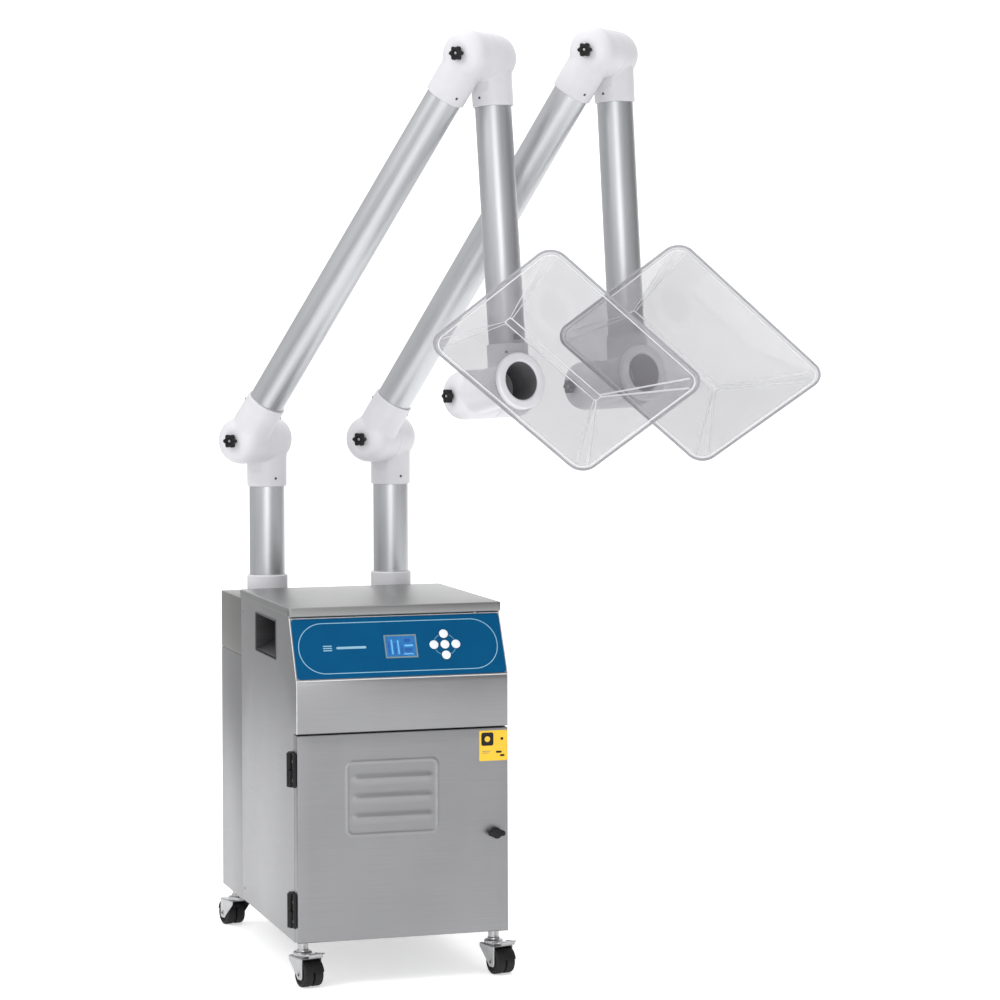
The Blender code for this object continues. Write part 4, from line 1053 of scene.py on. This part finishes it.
def star_knob(name):
    """A six-lobed clamping knob with a recessed middle, on its own turning axis."""
    lobes, points = 6, ROUND
    joint = JOINTS[f"{name}_turn"]
    out = -Vector(joint["axis"])
    seat = axes(Vector(joint["pos_m"]), out, Vector((0, 0, 1)))
    outline = []
    for k in range(points):
        angle = math.tau * k / points
        lobe = 0.5 + 0.5 * math.cos(lobes * angle)
        radius = KNOB_RADIUS * (0.735 + 0.265 * lobe ** 0.8)
        outline.append((radius * math.cos(angle), radius * math.sin(angle)))
    knob = prism(f"{name}_star", outline, 0.011, BLACK, seat @ shift(0, 0, 0.004))
    soften(knob, 0.0016, 4, 50)
    neck = lathe("neck", [(0, GAP), (0.0078, GAP), (0.0086, 0.006), (0, 0.006)], None, seat, 40)
    combine(knob, [neck], "UNION")
    dish = lathe("dish", [(0, 0.0125), (0.0048, 0.0125), (0.0056, 0.016), (0, 0.016)], None, seat, 40)
    combine(knob, [dish])
    place(knob, name, "black_plastic", name)
    profile = [(0, 0.012), (0.003, 0.012), (0.003, 0.0136), (0.0022, 0.0142), (0, 0.0142)]
    place(lathe(f"{name}_stud", profile, ZINC, seat, FINE, 0.0004), name, "zinc_plate")


def hood_place():
    """Turns the hood so that its port panel lies flat, with the port's centre at the origin."""
    run = RIDGE_OFFSET - RIDGE_WIDTH / 2 + HOOD_WIDTH / 2
    turn = Matrix.Rotation(math.atan2(HOOD_DEPTH, run), 4, "X")
    rim_edge = Vector((0.0, -HOOD_WIDTH / 2, 0.0))
    return Matrix.Translation(-(turn @ rim_edge) - Vector((PORT_ASIDE, PORT_ALONG, 0.0))) @ turn


def hood_loop(t):
    """The hood's cross-section from its rim, t = 0, to its ridge, t = 1, with its four rounded corners."""
    ridge_length = RIDGE_ENDS[1] - RIDGE_ENDS[0]
    length = HOOD_LENGTH + (ridge_length - HOOD_LENGTH) * t
    width = HOOD_WIDTH + (RIDGE_WIDTH - HOOD_WIDTH) * t
    radius = HOOD_CORNER + (RIDGE_WIDTH * 0.45 - HOOD_CORNER) * t
    centre = (sum(RIDGE_ENDS) / 2 * t, RIDGE_OFFSET * t)
    return rounded_rectangle(length, width, radius, HOOD_STEPS, centre)


def hood(name, matrix):
    """A vacuum-formed clear hood: four panels with beaded creases and a rolled rim. The beads along the creases,
    the ridge and inside the rim are near-white: a painted highlight.
    """
    rows = [0.0, 0.012, 0.03] + [0.06 + 0.94 * k / 26 for k in range(27)]
    length, width = HOOD_LENGTH + 2 * HOOD_LIP, HOOD_WIDTH + 2 * HOOD_LIP
    lip_corner = HOOD_CORNER + HOOD_LIP
    layers = [[(x, y, 0.0) for x, y in rounded_rectangle(length, width, lip_corner, HOOD_STEPS)]]
    for t in rows:
        layers.append([(x, y, -HOOD_DEPTH * t) for x, y in hood_loop(t)])
    bm = bmesh.new()
    loops = [[bm.verts.new(point) for point in layer] for layer in layers]
    count = len(loops[0])
    for first, second in zip(loops, loops[1:]):
        for k in range(count):
            n = (k + 1) % count
            bm.faces.new([first[k], first[n], second[n], second[k]])
    bm.faces.new(loops[-1])
    place_hood = matrix @ hood_place()
    shell = finish_mesh(f"{name}_shell", bm, CLEAR, place_hood, 50)
    thick = shell.modifiers.new("wall", "SOLIDIFY")
    thick.thickness = HOOD_WALL
    thick.offset = 0.0
    settle(shell, 50)
    combine(shell, [cylinder("port", PORT_RADIUS, -0.02, 0.02, matrix, 72)])
    place(shell, name, "clear_plastic", name)

    outline = rounded_rectangle(length - 0.002, width - 0.002, lip_corner, HOOD_STEPS)
    path = [(x, y, -0.0012) for x, y in outline]
    place(sweep(f"{name}_rim", path, 0.0026, CLEAR_EDGE, place_hood, True, 12), name, "clear_plastic")
    # a near-white bead inside the rim: a painted highlight
    outline = rounded_rectangle(HOOD_LENGTH - 0.004, HOOD_WIDTH - 0.004, HOOD_CORNER, HOOD_STEPS)
    path = [(x, y, -0.0005) for x, y in outline]
    bead = sweep(f"{name}_rim_bead", path, 0.0016, CREASE_HIGHLIGHT, place_hood, True, 8)
    place(bead, name, "clear_plastic")

    # near-white beads along the four creases and the ridge: painted highlights
    for index, thick in enumerate((0.0021, 0.001, 0.001, 0.0021)):
        for k, part in enumerate((0.18, 0.82)):
            path = []
            for step in range(22):
                t = 0.05 + 0.93 * step / 21
                x, y = hood_loop(t)[index * (HOOD_STEPS + 1) + round(part * HOOD_STEPS)]
                inward = Vector((sum(RIDGE_ENDS) / 2 * t - x, RIDGE_OFFSET * t - y)).normalized() * 0.0016
                path.append((x + inward.x, y + inward.y, -HOOD_DEPTH * t + 0.0012))
            bead_name = f"{name}_crease_{index}_{k}"
            crease = sweep(bead_name, path, thick, CREASE_HIGHLIGHT, place_hood, False, 8, 0.6)
            place(crease, name, "clear_plastic")
    near_ridge = 0.985
    path = [(x, y, -HOOD_DEPTH * near_ridge + 0.0016) for x, y in hood_loop(near_ridge)]
    crown = sweep(f"{name}_crease_ridge", path, 0.0016, CREASE_HIGHLIGHT, place_hood, True, 8, 0.6)
    place(crown, name, "clear_plastic")


def clip(arm, wrist, rise, body):
    """The small black stop clip screwed to the foot of the drop tube."""
    along = rise.normalized()
    outward = Vector((0.28, -0.96, 0.0))
    outward = (outward - along * outward.dot(along)).normalized()
    seat = axes(wrist + along * 0.113 + outward * TUBE_RADIUS, outward, along)
    base = block("clip_base", (-0.008, -0.006, -0.0015), (0.008, 0.006, 0.004), BLACK, seat)
    soften(base, 0.0012, 3)
    base.name = f"{arm}_stop_clip"
    place(base, body, "black_plastic")
    profile = [(0, 0.003), (0.0042, 0.003), (0.0042, 0.006), (0.003, 0.007), (0, 0.007)]
    place(lathe(f"{arm}_stop_screw", profile, BLACK, seat, FINE, 0.0004), body, "black_plastic")


def build_arm(arm):
    """One arm from its collar to its hood, on the joint points and axes of the frame."""
    names = ("swivel", "lower_pivot", "upper_pivot", "wrist_turn", "nozzle_tilt", "hood_turn")
    swivel, lower, upper, wrist, nod, port = (Vector(JOINTS[f"{arm}_{name}"]["pos_m"]) for name in names)
    across = Vector(JOINTS[f"{arm}_lower_pivot"]["axis"])
    nod_across = -Vector(JOINTS[f"{arm}_nozzle_tilt"]["axis"])
    aim = Vector(JOINTS[f"{arm}_hood_turn"]["axis"])
    up = Vector((0, 0, 1))
    inset = SOCKET_LENGTH - SOCKET_OVERLAP + GAP
    mast, boom, drop = f"{arm}_mast", f"{arm}_boom", f"{arm}_drop"

    collar = [
        (TUBE_RADIUS + GAP, DUCT_TOP + GAP), (0.043, DUCT_TOP + GAP), (0.043, COLLAR_TOP - 0.002),
        (0.0412, COLLAR_TOP), (TUBE_RADIUS + GAP, COLLAR_TOP),
    ]
    ring = lathe(f"{arm}_base_collar", collar, WHITE, shift(swivel.x, swivel.y, 0), ROUND, 0.0012)
    place(ring, "cabinet", "white_plastic", f"{arm}_collar")

    base = axes(Vector((swivel.x, swivel.y, lower.z)), up, across)
    tube(f"{arm}_riser", DUCT_TOP + GAP - lower.z, -inset, mast, base, f"{arm}_riser_tube")
    elbow(f"{arm}_base_elbow", "left", mast, base, f"{arm}_lower_elbow_base", True)

    crown_point = upper - across * 2 * HALF_PIVOT
    length = (crown_point - lower).length
    rising = axes(lower, crown_point - lower, across)
    crown = axes(crown_point, crown_point - lower, across)
    elbow(f"{arm}_boom_elbow", "right", boom, rising, f"{arm}_lower_elbow_arm")
    tube(f"{arm}_boom_tube", inset, length - inset, boom, rising, f"{arm}_long_tube")
    elbow(f"{arm}_crown_elbow", "right", boom, crown, f"{arm}_upper_elbow_rising", True)

    fall = (upper - wrist).length
    falling = axes(upper, upper - wrist, across)
    elbow(f"{arm}_drop_elbow", "left", drop, falling, f"{arm}_upper_elbow_falling", True)
    tube(f"{arm}_drop_pipe", inset - fall, -inset, drop, falling, f"{arm}_drop_tube")
    socket_screws(f"{arm}_drop_socket", drop, falling @ spin(180, "Y"), 100)
    socket_screws(f"{arm}_crown_socket", boom, crown @ spin(180, "Y"), 30)
    socket_screws(f"{arm}_boom_socket", boom, rising, 30)
    socket_screws(f"{arm}_base_socket", mast, base @ spin(180, "Y"), 30)

    hand = axes(wrist, upper - wrist, nod_across)
    elbow(f"{arm}_wrist_elbow", "end_left", f"{arm}_wrist", hand, f"{arm}_end_elbow_fixed")
    socket_screws(f"{arm}_wrist_socket", f"{arm}_wrist", hand, -40)
    clip(arm, wrist, upper - wrist, drop)

    aimed = axes(nod, aim, nod_across)
    elbow(f"{arm}_nozzle_elbow", "end_right", f"{arm}_nozzle", aimed, f"{arm}_end_elbow_nozzle")
    panel = NOZZLE_REACH - 0.012
    ring_profile = [
        (RING_BORE, NOZZLE_BODY), (0.049, NOZZLE_BODY), (0.049, panel - HOOD_WALL - GAP),
        (PORT_RADIUS - GAP, panel - HOOD_WALL - GAP), (PORT_RADIUS - GAP, panel + GAP),
        (RING_RADIUS, panel + GAP), (RING_RADIUS, NOZZLE_REACH - 0.003),
        (RING_RADIUS - 0.003, NOZZLE_REACH), (RING_BORE + 0.003, NOZZLE_REACH),
        (RING_BORE, NOZZLE_REACH - 0.003),
    ]
    mouth = lathe(f"{arm}_nozzle_ring", ring_profile, WHITE, aimed, ROUND, 0.0014)
    place(mouth, f"{arm}_nozzle", "white_plastic")
    inner, outer, end = RING_BORE - 0.0008, RING_BORE - 0.0001, NOZZLE_REACH - 0.004
    sleeve = [(inner, 0.1), (outer, 0.1), (outer, end), (inner, end)]
    place(lathe(f"{arm}_nozzle_lining", sleeve, MOTOR, aimed, 72), f"{arm}_nozzle", "motor_grey")

    hood(f"{arm}_hood", axes(port, aim, nod_across) @ spin(HOOD_SPIN, "Z"))
    for where in ("lower", "upper", "end"):
        star_knob(f"{arm}_{where}_knob")


# --- camera, light and floor ---
def camera():
    """The photograph's viewing angle. The spot is measured from the cabinet's front left corner."""
    azimuth, pitch, roll = 0.3052, 0.0253, -0.0027
    spot = Vector((-1.3577, -5.8934, 1.3099))
    level_look = math.cos(pitch)
    look = Vector((math.sin(azimuth) * level_look, math.cos(azimuth) * level_look, -math.sin(pitch)))
    right = Vector((math.cos(azimuth), -math.sin(azimuth), 0.0))
    above = right.cross(look)
    level = right * math.cos(roll) + above * math.sin(roll)
    upward = above * math.cos(roll) - right * math.sin(roll)
    lens = bpy.data.cameras.new("camera")
    turn = Matrix((level, upward, -look)).transposed().to_4x4()
    bpy.context.scene.camera = add_object("camera", lens, Matrix.Translation(corner + spot) @ turn)
    lens.sensor_width = 36.0
    lens.lens = 112.15
    lens.shift_x = -0.0406
    lens.shift_y = -0.1068
    lens.clip_end = 60.0


def area_light(name, spot, target, size, power):
    light = bpy.data.lights.new(name, "AREA")
    light.shape = "RECTANGLE"
    light.size, light.size_y = size
    light.energy = power
    thing = add_object(name, light, shift(*spot))
    thing.rotation_euler = (Vector(target) - Vector(spot)).to_track_quat("-Z", "Y").to_euler()


def pale_floor():
    """A white sheet with a slight glow, which falls off to a soft grey on the far left."""
    material = shader("pale_floor", (0.9, 0.9, 0.9), 0.85, Emission_Color=(1.0, 1.0, 1.0, 1.0))
    grey_until, white_from, glow_strength = -3.0, -1.2, 0.45
    tree = material.node_tree
    where = tree.nodes.new("ShaderNodeTexCoord")
    across = tree.nodes.new("ShaderNodeVectorMath")
    across.operation = "DOT_PRODUCT"
    across.inputs[1].default_value = (1.0, -0.12, 0.0)
    tree.links.new(where.outputs["Object"], across.inputs[0])
    fade = add_node(tree, "ShaderNodeMapRange", From_Min=grey_until, From_Max=white_from)
    fade.interpolation_type = "SMOOTHSTEP"
    tree.links.new(across.outputs["Value"], fade.inputs["Value"])
    tint(material, fade.outputs["Result"], (0.36, 0.36, 0.365), (0.91, 0.91, 0.91), 0.0, 1.0)
    glow = tree.nodes.new("ShaderNodeMath")
    glow.operation = "MULTIPLY"
    glow.inputs[1].default_value = glow_strength
    tree.links.new(fade.outputs["Result"], glow.inputs[0])
    drive(material, glow.outputs["Value"], "Emission Strength")
    return material


def floor_sheet():
    """A wide floor, with a curved backdrop rising from its rear edge behind the object."""
    material = pale_floor()
    half, front, rear = 11.0, -9.0, 4.0
    backdrop_left, bend, backdrop_top = -0.75, 2.0, 7.0
    bm = bmesh.new()
    corners = ((-half, front), (half, front), (half, rear), (-half, rear))
    bm.faces.new([bm.verts.new((x, y, 0.0)) for x, y in corners])
    rise = [(rear, 0.0)]
    for k in range(1, 13):
        angle = math.radians(90 * k / 12)
        rise.append((rear + bend * math.sin(angle), bend * (1 - math.cos(angle))))
    rise.append((rear + bend, backdrop_top))
    rows = [[bm.verts.new((x, y, z)) for x in (backdrop_left, half)] for y, z in rise]
    for first, second in zip(rows, rows[1:]):
        bm.faces.new([first[0], first[1], second[1], second[0]])
    return finish_mesh("floor", bm, material, HERE, 60)


def studio():
    """A white room, brightest at the upper left and darker to the right of the object."""
    bpy.context.scene.view_settings.view_transform = "Standard"
    world = bpy.data.worlds.new("studio")
    bpy.context.scene.world = world
    world.use_nodes = True
    tree = world.node_tree
    where = tree.nodes.new("ShaderNodeTexCoord")
    toward = tree.nodes.new("ShaderNodeVectorMath")
    toward.operation = "DOT_PRODUCT"
    brightest = Vector((-0.66, -0.1, 0.74))
    toward.inputs[1].default_value = brightest.normalized()
    tree.links.new(where.outputs["Generated"], toward.inputs[0])
    ramp = tree.nodes.new("ShaderNodeValToRGB")
    # (from the darkest side, 0, to the brightest, 1; brightness there)
    stops = ((0.0, 0.14), (0.28, 0.26), (0.45, 0.48), (0.58, 0.64), (1.0, 0.9))
    while len(ramp.color_ramp.elements) < len(stops):
        ramp.color_ramp.elements.new(0.5)
    for element, (spot, value) in zip(ramp.color_ramp.elements, stops):
        element.position = spot
        element.color = (value * 0.985, value * 0.99, value, 1.0)
    spread = add_node(tree, "ShaderNodeMapRange", From_Min=-1.0)
    tree.links.new(toward.outputs["Value"], spread.inputs["Value"])
    tree.links.new(spread.outputs["Result"], ramp.inputs["Fac"])
    tree.links.new(ramp.outputs["Color"], tree.nodes["Background"].inputs["Color"])
    area_light("front", (-2.3, -7.0, 1.9), (0.0, 0.0, 1.3), size=(3.4, 3.2), power=90.0)
    area_light("key", (-3.8, -1.4, 4.0), (0.0, 0.0, 1.0), size=(2.0, 2.0), power=48.0)
    area_light("ceiling", (0.0, 0.6, 5.5), (0.0, 0.0, 0.0), size=(6.0, 6.0), power=110.0)
    floor_sheet()


camera()
studio()
cabinet_skin()
side_trim()
for side in SIDES:
    handle_cup(side)
front_fascia()
control_film()
display()
buttons()
top_lid()
rear_housing()
door_leaf()
door_label()
for level in HINGE_BOTTOMS:
    hinge(level, 1)
    hinge(level, -1)
latch()
for row in STEM_Y:
    for side in SIDES:
        castor(row, side)
for arm in ARMS:
    build_arm(arm)
